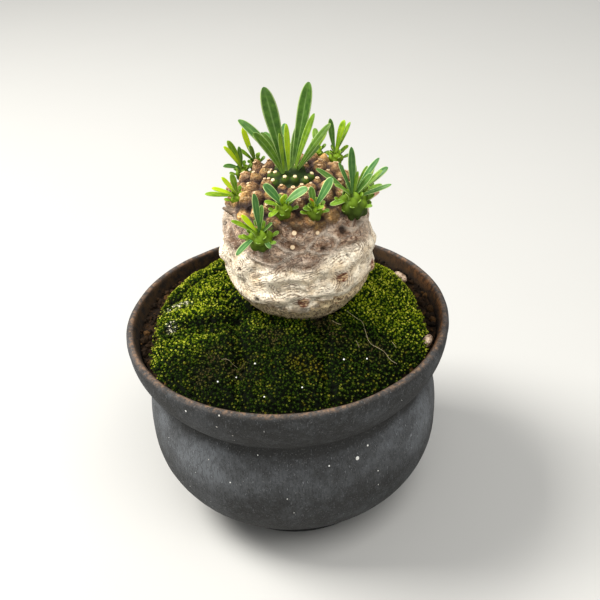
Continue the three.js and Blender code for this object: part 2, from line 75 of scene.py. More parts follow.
class Slot(Enum):
    """The record's material slots."""

    CLAY = "charcoal_clay"
    PLASTIC = "black_plastic"
    SOIL = "dark_soil"
    STONE = "tan_stone"
    MOSS = "moss"
    BARK = "pale_bark"
    LEAF = "leaf_green"
    SHOOT = "shoot_green"
    WITHERED = "withered_brown"


@dataclass(frozen=True)
class Plan:
    """The main sizes of the part, as in the solids."""

    rim_radius: float = 50
    rim_height: float = 66.4
    neck_radius: float = 43
    neck_height: float = 49.2
    belly_radius: float = 46.4
    belly_height: float = 31
    belly_roundness: float = 2.33
    foot_radius: float = 30
    foot_height: float = 4.6
    wall: float = 3.2
    floor_top: float = 7.5
    drain_radius: float = 5
    soil_height: float = 62.2
    moss_edge: float = 65.4
    moss_dome: float = 9
    caudex: Pair = (5, 3)
    caudex_radius: float = 21.9
    waist: float = 83.8
    rise: float = 26.8
    fall: float = 18.1
    crown: Triple = (3.5, 2.4, 108.2)
    crown_radius: float = 7.4
    crown_half: float = 4.4
    lip_height: float = 3
    lip_overhang: float = 0.2
    flare_power: float = 0.85
    neck_power: float = 2.6
    belly_sink: float = 0.5
    barrel_power_above: float = 3.3
    barrel_power_below: float = 1.95


PLAN = Plan()


def smooth(value: np.ndarray | float) -> np.ndarray:
    """A soft step from 0 to 1."""
    held = np.clip(value, 0, 1)
    return held * held * (3 - 2 * held)


def mix(low: float, high: float, share: np.ndarray | float) -> np.ndarray:
    """A value between two others."""
    return low + (high - low) * share


def close_to(value: np.ndarray, middle: float, reach: float, plateau: float = 1.2) -> np.ndarray:
    """1 at a value, falling softly to 0 beyond its reach."""
    return smooth(plateau - np.abs(value - middle) / reach)


def columns(*values: np.ndarray | float) -> np.ndarray:
    """Values side by side, one row for each point."""
    return np.stack(np.broadcast_arrays(*values), axis=1).astype(float)


def outward(turn: float) -> np.ndarray:
    """The level direction at a turn in radians."""
    return np.array([math.cos(turn), math.sin(turn), 0])


def round_places(radius: np.ndarray, turn: np.ndarray, height: np.ndarray) -> np.ndarray:
    """Places at a radius, a turn in radians and a height."""
    return columns(radius * np.cos(turn), radius * np.sin(turn), height)


def wander(points: np.ndarray, size: float, seed: float) -> np.ndarray:
    """Soft noise from -1 to 1 at each point.

    Args:
        points: Places, one row each.
        size: Distance over which the noise changes.
        seed: Shifts the pattern.

    Returns:
        One number for each point.
    """
    shift = Vector((seed, 1.7 * seed, -0.6 * seed))
    return np.array([noise.noise(Vector(p) / size + shift) for p in points])


def to_mesh(bm: bmesh.types.BMesh, name: str) -> Mesh:
    """Turns a bmesh into a mesh and frees it.

    Args:
        bm: The bmesh.
        name: The mesh's name.

    Returns:
        The mesh.
    """
    mesh = bpy.data.meshes.new(name)
    bm.to_mesh(mesh)
    bm.free()
    return mesh


def points_of(mesh: Mesh) -> np.ndarray:
    """The mesh's points, one row each.

    Args:
        mesh: The mesh.

    Returns:
        The points.
    """
    flat = np.empty(len(mesh.vertices) * 3, np.float32)
    mesh.vertices.foreach_get("co", flat)
    return flat.reshape(-1, 3).astype(float)


def move_points(mesh: Mesh, points: np.ndarray) -> Mesh:
    """Puts the mesh's points at new places.

    Args:
        mesh: The mesh.
        points: A row for each point.

    Returns:
        The same mesh.
    """
    mesh.vertices.foreach_set("co", np.asarray(points, np.float32).ravel())
    mesh.update()
    return mesh


def ball(segments: int, rings: int, name: str) -> Mesh:
    """A unit sphere whose poles lie on Z.

    Args:
        segments: Its faces round a ring.
        rings: Its rows of faces from pole to pole.
        name: The mesh's name.

    Returns:
        The mesh.
    """
    bm = bmesh.new()
    bmesh.ops.create_uvsphere(bm, u_segments=segments, v_segments=rings, radius=1)
    return to_mesh(bm, name)


def ball_angles(unit: np.ndarray) -> tuple[np.ndarray, np.ndarray]:
    """The angle from the upper pole and the turn of each point of a unit sphere."""
    return np.arccos(np.clip(unit[:, 2], -1, 1)), np.arctan2(unit[:, 1], unit[:, 0])


def crystal(detail: int, name: str, radius: float = 1, place: Matrix | None = None) -> Mesh:
    """A sphere of even triangles.

    Args:
        detail: How often its faces are divided.
        name: Name of the mesh.
        radius: Its radius.
        place: Its size, turn and place, if it isn't left at the middle.

    Returns:
        The mesh.
    """
    bm = bmesh.new()
    bmesh.ops.create_icosphere(bm, subdivisions=detail, radius=radius, matrix=place or Matrix.Identity(4))
    return to_mesh(bm, name)


class Assembly:
    """Meshes that make one piece, with what is painted on their points."""

    def __init__(self, name: str) -> None:
        """Starts an empty piece.

        Args:
            name: Name of the piece.
        """
        self.name = name
        self.meshes: list[Mesh] = []
        self.paint: dict[str, list[np.ndarray]] = {}

    def add(self, mesh: Mesh, **paint: np.ndarray) -> None:
        """Adds a mesh.

        Args:
            mesh: The mesh, in millimetres.
            **paint: Three numbers for each point, or three for all of them, by attribute name.
        """
        self.meshes.append(mesh)
        for name, rows in paint.items():
            full = np.broadcast_to(np.asarray(rows, float), (len(mesh.vertices), 3))
            self.paint.setdefault(name, []).append(full)

    def piece(self, material: Material, shade_smooth: bool = True) -> Object:
        """Joins the meshes into an object in metres.

        Args:
            material: Its finish.
            shade_smooth: Whether its faces are shaded as one curved skin.

        Returns:
            The object, at the origin.
        """
        bm = bmesh.new()
        for mesh in self.meshes:
            bm.from_mesh(mesh)
            bpy.data.meshes.remove(mesh)
        bmesh.ops.scale(bm, vec=Vector((MM, MM, MM)), verts=bm.verts)
        joined = to_mesh(bm, self.name)
        for name, rows in self.paint.items():
            layer = joined.attributes.new(name, "FLOAT_VECTOR", "POINT")
            layer.data.foreach_set("vector", np.concatenate(rows).astype(np.float32).ravel())
        for polygon in joined.polygons:
            polygon.use_smooth = shade_smooth
        joined.materials.append(material)
        made = bpy.data.objects.new(self.name, joined)
        bpy.context.scene.collection.objects.link(made)
        return made


def settle(piece: Object, slot: Slot, *nodes: str) -> Object:
    """Makes a piece part of the model.

    Args:
        piece: The finished object.
        slot: A material slot; not used.
        *nodes: The solids that it stands for, if any.

    Returns:
        The same object.
    """
    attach(piece, "root")
    if nodes:
        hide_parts(*nodes)
    triangles = sum(len(p.vertices) - 2 for p in piece.data.polygons)
    log.info("%s: %d triangles", piece.name, triangles)
    return piece


def scattered(template: Mesh, places: np.ndarray) -> Mesh:
    """Many copies of a small mesh.

    Args:
        template: The small mesh.
        places: One 3 by 4 matrix for each copy.

    Returns:
        One mesh with all copies, in order.
    """
    stack = bmesh.new()
    for _ in range(COPIES_AT_ONCE):
        stack.from_mesh(template)
    block = to_mesh(stack, "block")
    whole = bmesh.new()
    for _ in range(len(places) // COPIES_AT_ONCE):
        whole.from_mesh(block)
    for _ in range(len(places) % COPIES_AT_ONCE):
        whole.from_mesh(template)
    shape = points_of(template)
    moved = np.einsum("nij,kj->nki", places[:, :, :3], shape) + places[:, None, :, 3]
    bpy.data.meshes.remove(block)
    return move_points(to_mesh(whole, "copies"), moved.reshape(-1, 3))


def facing(normals: np.ndarray, turns: np.ndarray, sizes: np.ndarray, spots: np.ndarray) -> np.ndarray:
    """Matrices that stand copies on a surface.

    Args:
        normals: Where each copy's Z axis points.
        turns: Turn of each copy about that axis, in radians.
        sizes: Size of each copy.
        spots: Where each copy stands.

    Returns:
        One 3 by 4 matrix for each copy.
    """
    up = normals / np.linalg.norm(normals, axis=1, keepdims=True)
    guide = np.where(np.abs(up[:, :1]) < 0.9, [[1.0, 0, 0]], [[0, 1.0, 0]])
    right = np.cross(guide, up)
    right /= np.linalg.norm(right, axis=1, keepdims=True)
    ahead = np.cross(up, right)
    cos, sin = np.cos(turns)[:, None], np.sin(turns)[:, None]
    columns = [right * cos + ahead * sin, ahead * cos - right * sin, up]
    turned = np.stack(columns, axis=2) * sizes[:, None, None]
    return np.concatenate([turned, spots[:, :, None]], axis=2)


def tone(code: str) -> tuple[float, float, float, float]:
    """A shader colour from its screen value, such as 3a6b22.

    Args:
        code: Six hex digits.

    Returns:
        The colour in linear light.
    """
    parts = [int(code[i : i + 2], 16) / 255 for i in (0, 2, 4)]
    linear = [p / 12.92 if p < 0.04045 else ((p + 0.055) / 1.055) ** 2.4 for p in parts]
    return (*linear, 1.0)


class Wire:
    """A shader value; an expression on wires adds its Math nodes."""

    def __init__(self, recipe: "Recipe", socket: NodeSocket) -> None:
        """Wraps a socket of a recipe's node."""
        self.recipe = recipe
        self.socket = socket

    def math(self, operation: str, *others: "Wire | float", first: bool = True) -> "Wire":
        """Adds a Math node.

        Args:
            operation: The node's operation.
            *others: Its other values.
            first: Whether this wire is the first value.

        Returns:
            The result.
        """
        values = [self, *others] if first else [*others, self]
        node = self.recipe.add("ShaderNodeMath", {"operation": operation}, dict(enumerate(values)))
        return Wire(self.recipe, node.outputs[0])

    def __add__(self, other: "Wire | float") -> "Wire":
        """Sum."""
        return self.math("ADD", other)

    def __sub__(self, other: "Wire | float") -> "Wire":
        """Difference."""
        return self.math("SUBTRACT", other)

    def __rsub__(self, other: float) -> "Wire":
        """Difference from a number."""
        return self.math("SUBTRACT", other, first=False)

    def __mul__(self, other: "Wire | float") -> "Wire":
        """Product."""
        return self.math("MULTIPLY", other)

    def __pow__(self, other: float) -> "Wire":
        """Power."""
        return self.math("POWER", other)

    def __abs__(self) -> "Wire":
        """Size without its sign."""
        return self.math("ABSOLUTE")

    __radd__ = __add__
    __rmul__ = __mul__

    def held(self) -> "Wire":
        """The value kept within 0 and 1."""
        node = self.recipe.add("ShaderNodeClamp", {}, {"Value": self})
        return Wire(self.recipe, node.outputs[0])

    def between(self, low: float, high: float) -> "Wire":
        """A soft step from 0 at low to 1 at high.

        Args:
            low: Where the step starts.
            high: Where it ends.

        Returns:
            The step.
        """
        inputs = {"Value": self, "From Min": low, "From Max": high}
        node = self.recipe.add("ShaderNodeMapRange", {"interpolation_type": "SMOOTHSTEP"}, inputs)
        return Wire(self.recipe, node.outputs[0])

    def spread(self, low: float, high: float) -> "Wire":
        """The value stretched from 0 and 1 to two others."""
        return self * (high - low) + low


class Recipe:
    """A material's node tree."""

    def __init__(self, name: str) -> None:
        """Starts a material.

        Args:
            name: Name of the material.
        """
        self.material = bpy.data.materials.new(name)
        self.material.use_nodes = True
        self.tree = self.material.node_tree
        self.tree.nodes.clear()
        texture = self.add("ShaderNodeTexCoord")
        scale = {"Vector": texture.outputs["Object"], "Scale": (1 / MM,) * 3}
        self.place = self.add("ShaderNodeMapping", {}, scale).outputs[0]

    def add(self, kind: str, settings: dict | None = None, inputs: dict | None = None) -> Node:
        """Adds a node.

        Args:
            kind: The node's type.
            settings: Its properties.
            inputs: Values or links of its sockets, by name or number.

        Returns:
            The node.
        """
        node = self.tree.nodes.new(kind)
        for name, value in (settings or {}).items():
            setattr(node, name, value)
        for key, value in (inputs or {}).items():
            socket = value.socket if isinstance(value, Wire) else value
            if isinstance(socket, NodeSocket):
                self.tree.links.new(socket, node.inputs[key])
            else:
                node.inputs[key].default_value = socket
        return node

    def wire(self, kind: str, settings: dict, inputs: dict, output: int = 0) -> Wire:
        """One output of a new node, as a wire."""
        return Wire(self, self.add(kind, settings, inputs).outputs[output])

    def stretched(self, x: float, y: float, z: float) -> NodeSocket:
        """Places in millimetres, scaled along each axis."""
        inputs = {"Vector": self.place, "Scale": (x, y, z)}
        return self.add("ShaderNodeMapping", {}, inputs).outputs[0]

    def cloud(
        self, size: float, detail: float = 3, roughness: float = 0.55, at: NodeSocket | None = None
    ) -> Wire:
        """Soft noise from 0 to 1.

        Args:
            size: Size of its blobs in millimetres.
            detail: How many finer layers it has.
            roughness: Strength of the finer layers.
            at: Where it is read, or the place on the piece.

        Returns:
            The noise.
        """
        inputs = {"Vector": at or self.place, "Scale": 1 / size, "Detail": detail, "Roughness": roughness}
        return self.wire("ShaderNodeTexNoise", {}, inputs)

    def specks(self, size: float, radius: float, share: float) -> Wire:
        """Round spots.

        Args:
            size: Distance between them in millimetres.
            radius: Their radius as a share of that distance.
            share: How many of the places have one.

        Returns:
            1 on a spot and 0 elsewhere.
        """
        inputs = {"Vector": self.place, "Scale": 1 / size}
        cells = self.add("ShaderNodeTexVoronoi", {}, inputs)
        near = 1 - Wire(self, cells.outputs["Distance"]).between(radius * 0.7, radius)
        draw = self.wire("ShaderNodeSeparateColor", {}, {0: cells.outputs["Color"]})
        return near * draw.between(1 - share, 1.01 - share)

    def painted(self, name: str) -> tuple[Wire, Wire, Wire]:
        """The three numbers painted on a piece's points.

        Args:
            name: The attribute's name.

        Returns:
            A value for each number.
        """
        source = self.add("ShaderNodeAttribute", {"attribute_name": name})
        parts = self.add("ShaderNodeSeparateXYZ", {}, {0: source.outputs["Vector"]})
        return tuple(Wire(self, parts.outputs[i]) for i in range(3))

    def blend(self, share: Wire | float, below: Wire | str, above: Wire | str) -> Wire:
        """Lays one colour over another.

        Args:
            share: How much of the upper colour shows.
            below: The lower colour, as a wire or a screen value.
            above: The upper colour, as a wire or a screen value.

        Returns:
            The colour.
        """
        low, high = (tone(color) if isinstance(color, str) else color for color in (below, above))
        settings = {"data_type": "RGBA", "blend_type": "MIX", "clamp_factor": True}
        return self.wire("ShaderNodeMix", settings, {0: share, 6: low, 7: high}, 2)

    def layers(self, ground: Wire | str, *coats: tuple[Wire | float, Wire | str]) -> Wire:
        """Lays colours over one another.

        Args:
            ground: The lowest colour.
            *coats: How much of each further colour shows, and that colour.

        Returns:
            The colour.
        """
        for share, color in coats:
            ground = self.blend(share, ground, color)
        return ground

    def finish(
        self,
        color: Wire,
        roughness: Wire | float,
        height: Wire | None = None,
        depth: float = 0.1,
        **constants: float | Triple,
    ) -> Material:
        """Ends the recipe with its surface.

        Args:
            color: The base colour.
            roughness: The roughness.
            height: Fine relief from 0 to 1.
            depth: Depth of the relief in millimetres.
            **constants: Other values of the surface; an underscore stands for a space.

        Returns:
            The material.
        """
        inputs = {"Base Color": color, "Roughness": roughness}
        inputs.update({name.replace("_", " "): value for name, value in constants.items()})
        if height is not None:
            bump = self.add("ShaderNodeBump", {}, {"Height": height, "Distance": depth * MM, "Strength": 1.0})
            inputs["Normal"] = bump.outputs[0]
        surface = self.add("ShaderNodeBsdfPrincipled", {}, inputs)
        self.add("ShaderNodeOutputMaterial", {}, {"Surface": surface.outputs[0]})
        return self.material


@dataclass(frozen=True)
class ClayFinish:
    """Dark unglazed clay: dusty clouds, fine grain, a worn brown lip and a brown inside, with a painted sheen
    on the sunlit shoulders and upper belly and painted shade under the flare.
    """

    dark: str = "282827"
    pale: str = "5c5f62"
    stroke: str = "151515"
    streak: str = "8d9093"
    grit: str = "7a7a78"
    inside: str = "2f1f09"
    inside_dark: str = "110a03"
    worn: str = "745c47"
    worn_dark: str = "4b433d"
    worn_inside: str = "6a4420"
    dust: str = "cfcac2"
    depth: float = 0.34

    def build(self) -> Material:
        """Makes the material.

        Returns:
            The material.
        """
        r = Recipe("charcoal_clay")
        lit_and_shaded, wear, inner = r.painted("clay")
        clouds = r.cloud(22, 5, 0.62)
        mottle = r.cloud(2.6, 5, 0.65)
        grain = r.cloud(0.5, 2, 0.6)
        brushed = r.cloud(0.8, 4, 0.7, r.stretched(1.3, 1.3, 0.3))
        # The first clay share is painted light and shade: a painted sheen on the sunlit shoulders and upper
        # belly, and painted shade under the flare; the paler tone and the pale streaks follow it.
        sheen = lit_and_shaded * clouds.between(0.4, 0.6).spread(0.45, 1.0)
        light = (clouds.between(0.45, 0.72) * 0.35 + mottle.between(0.42, 0.75) * 0.25 + sheen * 0.85).held()
        patchy = (wear * r.cloud(1.8, 5, 0.7).between(0.42, 0.6).spread(0.1, 1)).held()
        worn = r.blend(r.cloud(1.0, 3, 0.6).between(0.35, 0.65), self.worn, self.worn_dark)
        dust = (r.specks(4.2, 0.07, 0.2) + r.specks(9, 0.045, 0.3)).held()
        color = r.layers(
            self.dark,
            (light, self.pale),
            (brushed.between(0.48, 0.6) * 0.62, self.stroke),
            (brushed.between(0.58, 0.7) * light.spread(0.25, 0.9), self.streak),
            (grain.between(0.6, 0.7) * 0.3, self.grit),
            (inner, r.blend(mottle.between(0.38, 0.66), self.inside, self.inside_dark)),
            (patchy, r.blend(inner, worn, self.worn_inside)),
            (dust * 0.85, self.dust),
        )
        rough = (0.72 + 0.2 * clouds - 0.1 * light + 0.2 * inner).held()
        height = grain * 0.35 + mottle * 0.35 + brushed + dust * 0.6
        return r.finish(color, rough, height, self.depth, Specular_IOR_Level=0.3)


@dataclass(frozen=True)
class PlasticFinish:
    """Black moulded plastic."""

    black: str = "1b1b1c"
    haze: str = "2d2a27"
    depth: float = 0.02

    def build(self) -> Material:
        """Makes the material.

        Returns:
            The material.
        """
        r = Recipe("black_plastic")
        haze = r.cloud(2.5, 3)
        color = r.blend(haze.between(0.4, 0.7) * 0.5, self.black, self.haze)
        return r.finish(color, 0.45 + 0.2 * haze, r.cloud(0.4, 2), self.depth)


@dataclass(frozen=True)
class SoilFinish:
    """Damp dark potting mix with brown crumbs."""

    dark: str = "110b05"
    brown: str = "2c1c0d"
    crumb: str = "503a22"
    depth: float = 0.7

    def build(self) -> Material:
        """Makes the material.

        Returns:
            The material.
        """
        r = Recipe("dark_soil")
        crumbs = r.cloud(1.4, 5, 0.65)
        mixed = r.blend(crumbs.between(0.42, 0.68), self.dark, self.brown)
        color = r.blend(r.specks(2.4, 0.14, 0.25), mixed, self.crumb)
        return r.finish(color, 0.95, crumbs + r.cloud(0.5, 3) * 0.4, self.depth, Specular_IOR_Level=0.1)


@dataclass(frozen=True)
class GrainFinish:
    """Loose grains: each has its own brown, from nearly black to tan."""

    dark: str = "0b0602"
    tan: str = "50381c"
    damp: str = "26180a"
    pit: str = "0c0703"
    depth: float = 0.15

    def build(self) -> Material:
        """Makes the material.

        Returns:
            The material.
        """
        r = Recipe("loose_grains")
        shade, damp, _ = r.painted("grain")
        pits = r.cloud(0.6, 3, 0.6)
        color = r.layers(
            self.dark,
            (shade**1.5, self.tan),
            (damp * 0.5, self.damp),
            (pits.between(0.45, 0.7) * 0.5, self.pit),
        )
        return r.finish(color, 0.92, pits, self.depth, Specular_IOR_Level=0.1)


@dataclass(frozen=True)
class StoneFinish:
    """Pale gravel with tan veins, dark specks and painted glints."""

    pale: str = "c4ad92"
    tan: str = "6c4f38"
    dark_speck: str = "3a2a1c"
    glint_speck: str = "efe6d8"
    depth: float = 0.4

    def build(self) -> Material:
        """Makes the material.

        Returns:
            The material.
        """
        r = Recipe("tan_stone")
        veins = r.cloud(1.1, 5, 0.7)
        color = r.layers(
            self.tan,
            (veins.between(0.42, 0.58), self.pale),
            (r.specks(0.8, 0.22, 0.4) * 0.75, self.dark_speck),
            # Painted glints.
            (r.specks(0.7, 0.2, 0.25), self.glint_speck),
        )
        return r.finish(color, 0.75, veins, self.depth)


@dataclass(frozen=True)
class MossFinish:
    """Star moss: deep green leaves and lime tips, with painted shade that makes the gaps between the tufts
    nearly black and darkens the creases, dips and front, and painted highlights on some tips.
    """

    deep: str = "050802"
    green: str = "182f04"
    lively: str = "42660a"
    crest: str = "46640e"
    lime: str = "b2bb22"
    tip_highlight: str = "f0ee5c"
    olive: str = "86741c"
    dull: str = "4e4426"
    bleached: str = "ece6cf"

    def build(self) -> Material:
        """Makes the material.

        Returns:
            The material.
        """
        r = Recipe("moss")
        tip, tint, bleach = r.painted("tuft")
        yellow, shade, dull = r.painted("bed")
        patches = r.cloud(7, 3, 0.6)
        # The second bed value is painted shade: it dims the greens and darkens the tufts.
        lively = (patches.between(0.36, 0.66) * 0.7 + tint * 0.6 - shade * 0.75).held()
        crest = r.blend(lively, self.crest, self.lime)
        # Painted highlights on the tips of some tufts, weaker where the moss is shaded.
        crest = r.blend(tint.between(0.7, 0.9) * lively.spread(0.3, 1), crest, self.tip_highlight)
        # Nearly black low in each tuft and on the domes: painted shade in the gaps between the tufts; above
        # it, the moss's own green and lime tips.
        color = r.layers(
            self.deep,
            (tip.between(0.1, 0.6), r.blend(lively, self.green, self.lively)),
            (tip.between(0.52, 0.92), crest),
            (shade * 0.6, self.deep),
            (yellow * tip.between(0.3, 1), self.olive),
            (dull * tip.between(0.3, 0.9), self.dull),
            (bleach * tip.between(0.25, 0.8), self.bleached),
        )
        return r.finish(color, 0.85 + 0.1 * tint, Specular_IOR_Level=0.06)


@dataclass(frozen=True)
class BarkFinish:
    """Papery bark: cream and finely wrinkled low down, grey-brown above, tan tubercles and a fibrous foot;
    painted shade in the wrinkles, the low bumps and between the tubercles, painted highlights on the
    tubercles' tops and a painted sheen on the grey-brown bumps.
    """

    cream: str = "fff3da"
    warm: str = "e2c59a"
    cream_line: str = "a8875f"
    cream_lump_shade: str = "b39873"
    cream_crack: str = "6e5036"
    cream_crease_shade: str = "74543a"
    drab: str = "7a583e"
    drab_pale_sheen: str = "c2a68b"
    ash: str = "d6c4b0"
    grey: str = "80695a"
    knob_side: str = "6e4f38"
    valley: str = "cdbdab"
    vein: str = "d8cab8"
    drab_crack: str = "4a3526"
    umber_crease_shade: str = "553f2e"
    stain: str = "64452b"
    tan: str = "ce9f58"
    tan_dull: str = "946d44"
    tan_brown: str = "6f4526"
    tan_crack: str = "5a3822"
    tan_highlight: str = "ecd6a4"
    knob_foot_shade: str = "361c0d"
    hollow_shade: str = "1e1007"
    crest: str = "e2d4c0"
    rust: str = "b08750"
    fibre: str = "7e542a"
    fibre_pale: str = "ffe6b4"
    root_scar: str = "6a3216"
    root_scar_pale: str = "ecc690"
    pit: str = "2c1c12"
    dot: str = "5b4030"
    wrinkle: float = 0.68
    depth: float = 0.55

    def build(self) -> Material:
        """Makes the material.

        Returns:
            The material.
        """
        r = Recipe("pale_bark")
        knob, grey, fringe = r.painted("skin")
        crest, patch, pit = r.painted("mark")
        shoulder, hollow_shade, flow = r.painted("shade")
        stain, band, knob_tone = r.painted("tinge")
        soft = r.cloud(5.5, 4, 0.6)
        fine = r.cloud(0.8, 4, 0.65, r.stretched(0.6, 0.6, 1.6))
        bend = r.cloud(2.2, 3, 0.6) * 1.3 + r.cloud(0.7, 2) * 0.4
        folds = ((flow + bend) * (2 * math.pi / self.wrinkle)).math("SINE") * 0.5 + 0.5
        folded = r.cloud(2.8, 3, 0.6).between(0.43, 0.6)
        vein = 1 - abs(r.cloud(3.2, 3, 0.55) - 0.5).between(0.0, 0.035)
        crack = 1 - abs(r.cloud(1.9, 3, 0.6) - 0.5).between(0.0, 0.03)
        lumps = r.cloud(1.7, 4, 0.7)
        creases = 1 - (1 - folds.between(0.0, 0.65)) * folded
        cream = r.layers(
            self.cream,
            (soft.between(0.4, 0.72) * 0.7, self.warm),
            (fine.between(0.54, 0.62) * 0.4, self.cream_line),
            # Painted shade: darker in the low bumps.
            (lumps.between(0.46, 0.36) * 0.4, self.cream_lump_shade),
            (crack * folded * 0.55, self.cream_crack),
            # Painted shade in the creases of the wrinkles.
            ((1 - creases) * 0.7, self.cream_crease_shade),
        )
        drab = r.layers(
            self.drab,
            # Pale grey on the raised bumps and brown in the low ones: the bark's own grey-brown, with a
            # painted sheen on the bumps and painted shade between them.
            (lumps.between(0.4, 0.54), self.drab_pale_sheen),
            (soft.between(0.5, 0.64) * 0.6, self.ash),
            (fine.between(0.52, 0.62) * 0.5, self.grey),
            (knob.between(0.3, 0.8) * 0.5, self.knob_side),
            ((1 - knob.between(0.0, 0.22)) * 0.4, self.valley),
            (vein * 0.45, self.vein),
            (crack * (1 - vein) * 0.6, self.drab_crack),
            # Painted shade in the wrinkle creases of the band where grey meets cream.
            ((1 - creases) * band.spread(0.22, 0.75), self.umber_crease_shade),
            (stain * fine.between(0.35, 0.6).spread(0.95, 0.55), self.stain),
        )
        tan = r.layers(
            self.tan,
            (knob_tone, self.tan_dull),
            (soft.between(0.4, 0.6) * 0.5, self.tan_brown),
            (crack * 0.6, self.tan_crack),
            # Painted highlights, strongest on the tubercles' tops.
            (fine.between(0.52, 0.62) * knob * 0.5, self.tan_highlight),
        )
        flecks = r.cloud(0.7, 4, 0.7, r.stretched(1, 1, 0.55))
        core = (fringe.between(0.55, 0.8) * flecks.between(0.3, 0.6).spread(0.6, 1)).held()
        rust = fringe.between(0.0, 0.7) * r.cloud(2.2, 4, 0.65).between(0.38, 0.62)
        cracked = fine.between(0.36, 0.56)
        color = r.layers(
            cream,
            ((grey * soft.spread(0.8, 1.3)).held(), drab),
            # Painted shade: dark at the foot of each tubercle, tan towards its top.
            (shoulder, r.blend(knob.between(0.28, 0.85), self.knob_foot_shade, tan)),
            # Painted shade, nearly black between the top tubercles.
            (hollow_shade, self.hollow_shade),
            (crest * 0.55, self.crest),
            (rust * 0.8, self.rust),
            (core, r.blend(flecks.between(0.43, 0.49), self.fibre, self.fibre_pale)),
            (patch.between(0.15, 0.9) * cracked.spread(0.25, 1), self.root_scar),
            (patch.between(0.6, 1.0) * (1 - cracked), self.root_scar_pale),
            (pit * 0.9, self.pit),
            (r.specks(5.5, 0.07, 0.3) * 0.8 * (1 - shoulder), self.dot),
        )
        relief = creases * 0.35 + fine * 0.8 + lumps * grey.spread(0.7, 1.8) + vein * grey * 0.5
        height = relief - crack * 0.4 + flecks * core * 1.5
        return r.finish(color, 0.55 + 0.2 * soft, height, self.depth, Specular_IOR_Level=0.4)


@dataclass(frozen=True)
class ScarFinish:
    """The pale corky scar that a fallen leaf leaves."""

    pale: str = "dcc6a2"
    ring: str = "7a5233"
    crater: str = "593c26"
    crater_side: str = "cfb188"
    crater_ring: str = "94714f"
    white: str = "d4c48c"
    cork: str = "a5773f"
    depth: float = 0.06

    def build(self) -> Material:
        """Makes the material.

        Returns:
            The material.
        """
        r = Recipe("leaf_scar")
        out, old, white = r.painted("scar")
        cork = r.cloud(0.35, 3, 0.6)
        crater = r.blend(out.between(0.15, 0.6), self.crater, self.crater_side)
        color = r.layers(
            self.pale,
            (out.between(0.55, 0.95), self.ring),
            (old, r.blend(out.between(0.75, 1.0), crater, self.crater_ring)),
            (white * 0.9, self.white),
            (cork.between(0.5, 0.7) * 0.35, self.cork),
        )
        return r.finish(color, 0.75, cork, self.depth)


@dataclass(frozen=True)
class LeafFinish:
    """Fleshy leaf: pale midrib and margin, bluish bloom on some, lime on the young, red tips on a few; green
    bodies painted darker low down and between their tubercles as shade.
    """

    deep: str = "25430d"
    green: str = "496d1e"
    bloom_deep: str = "35612e"
    bloom: str = "4a763a"
    lime_deep: str = "6c9410"
    lime: str = "95b016"
    sprout: str = "bcd214"
    rib: str = "9dba70"
    margin: str = "b9cb84"
    foot: str = "9fbb62"
    blush: str = "c0622a"
    flesh_shade: str = "1a2a03"
    flesh: str = "56700c"
    flesh_young: str = "809f0c"
    depth: float = 0.05
    scatter: Triple = (0.4 * MM, 0.7 * MM, 0.2 * MM)

    def build(self) -> Material:
        """Makes the material.

        Returns:
            The material.
        """
        r = Recipe("leaf_green")
        across, share, youth = r.painted("blade")
        bloom, blush, body = r.painted("coat")
        mottle = r.cloud(1.6, 4, 0.6)
        side = abs(across)
        sprout = youth.between(0.88, 0.94) * share.between(0.15, 0.6)
        rib = (1 - side.between(0.03, 0.16)) * (1 - share.between(0.75, 1.0))
        edge = side.between(0.76, 0.94) * share.between(0.12, 0.35)
        foot = 1 - share.between(0.0, 0.3)
        # On the green bodies: painted shade low down and between the tubercles, lighter on their tops.
        flesh = r.blend(share.between(0.2, 0.85), self.flesh_shade, self.flesh)
        color = r.layers(
            self.deep,
            (mottle.between(0.2, 0.85), self.green),
            (bloom, r.blend(mottle.between(0.2, 0.8), self.bloom_deep, self.bloom)),
            (youth, r.blend(mottle.between(0.3, 0.7), self.lime_deep, self.lime)),
            (sprout * 0.75, self.sprout),
            (rib * 0.22, self.rib),
            (edge * bloom.spread(0.45, 1), self.margin),
            (foot * 0.35 * (1 - body), self.foot),
            (blush * share.between(0.72, 0.97), self.blush),
            (body, r.blend(youth * 0.55, flesh, self.flesh_young)),
        )
        return r.finish(
            color,
            0.4 + 0.16 * mottle + 0.2 * body,
            mottle * 0.4 + r.cloud(0.4, 2) * 0.3,
            self.depth,
            Specular_IOR_Level=0.2,
            Subsurface_Weight=0.05,
            Subsurface_Radius=self.scatter,
            Subsurface_Scale=1.0,
        )


@dataclass(frozen=True)
class WitheredFinish:
    """Dry brown leaf with a straw-coloured edge."""

    brown: str = "5a3c2c"
    pale_brown: str = "7d5a44"
    straw: str = "b79a78"
    depth: float = 0.12

    def build(self) -> Material:
        """Makes the material.

        Returns:
            The material.
        """
        r = Recipe("withered_brown")
        across, share, _ = r.painted("blade")
        creased = r.cloud(0.7, 4, 0.6)
        color = r.layers(
            self.brown,
            (creased.between(0.4, 0.65), self.pale_brown),
            (abs(across).between(0.6, 0.95) * 0.8, self.straw),
            ((1 - share.between(0.1, 0.45)) * 0.6, self.straw),
        )
        return r.finish(color, 0.85, creased, self.depth)


@dataclass(frozen=True)
class DryFibreFinish:
    """One pale matt colour that clouds over to a duller one, for root hairs, crumbs and lime."""

    name: str
    pale: str
    dull: str
    depth: float = 0.02

    def build(self) -> Material:
        """Makes the material.

        Returns:
            The material.
        """
        r = Recipe(self.name)
        color = r.blend(r.cloud(2, 3).between(0.4, 0.7), self.pale, self.dull)
        return r.finish(color, 0.8, r.cloud(0.3, 2), self.depth)


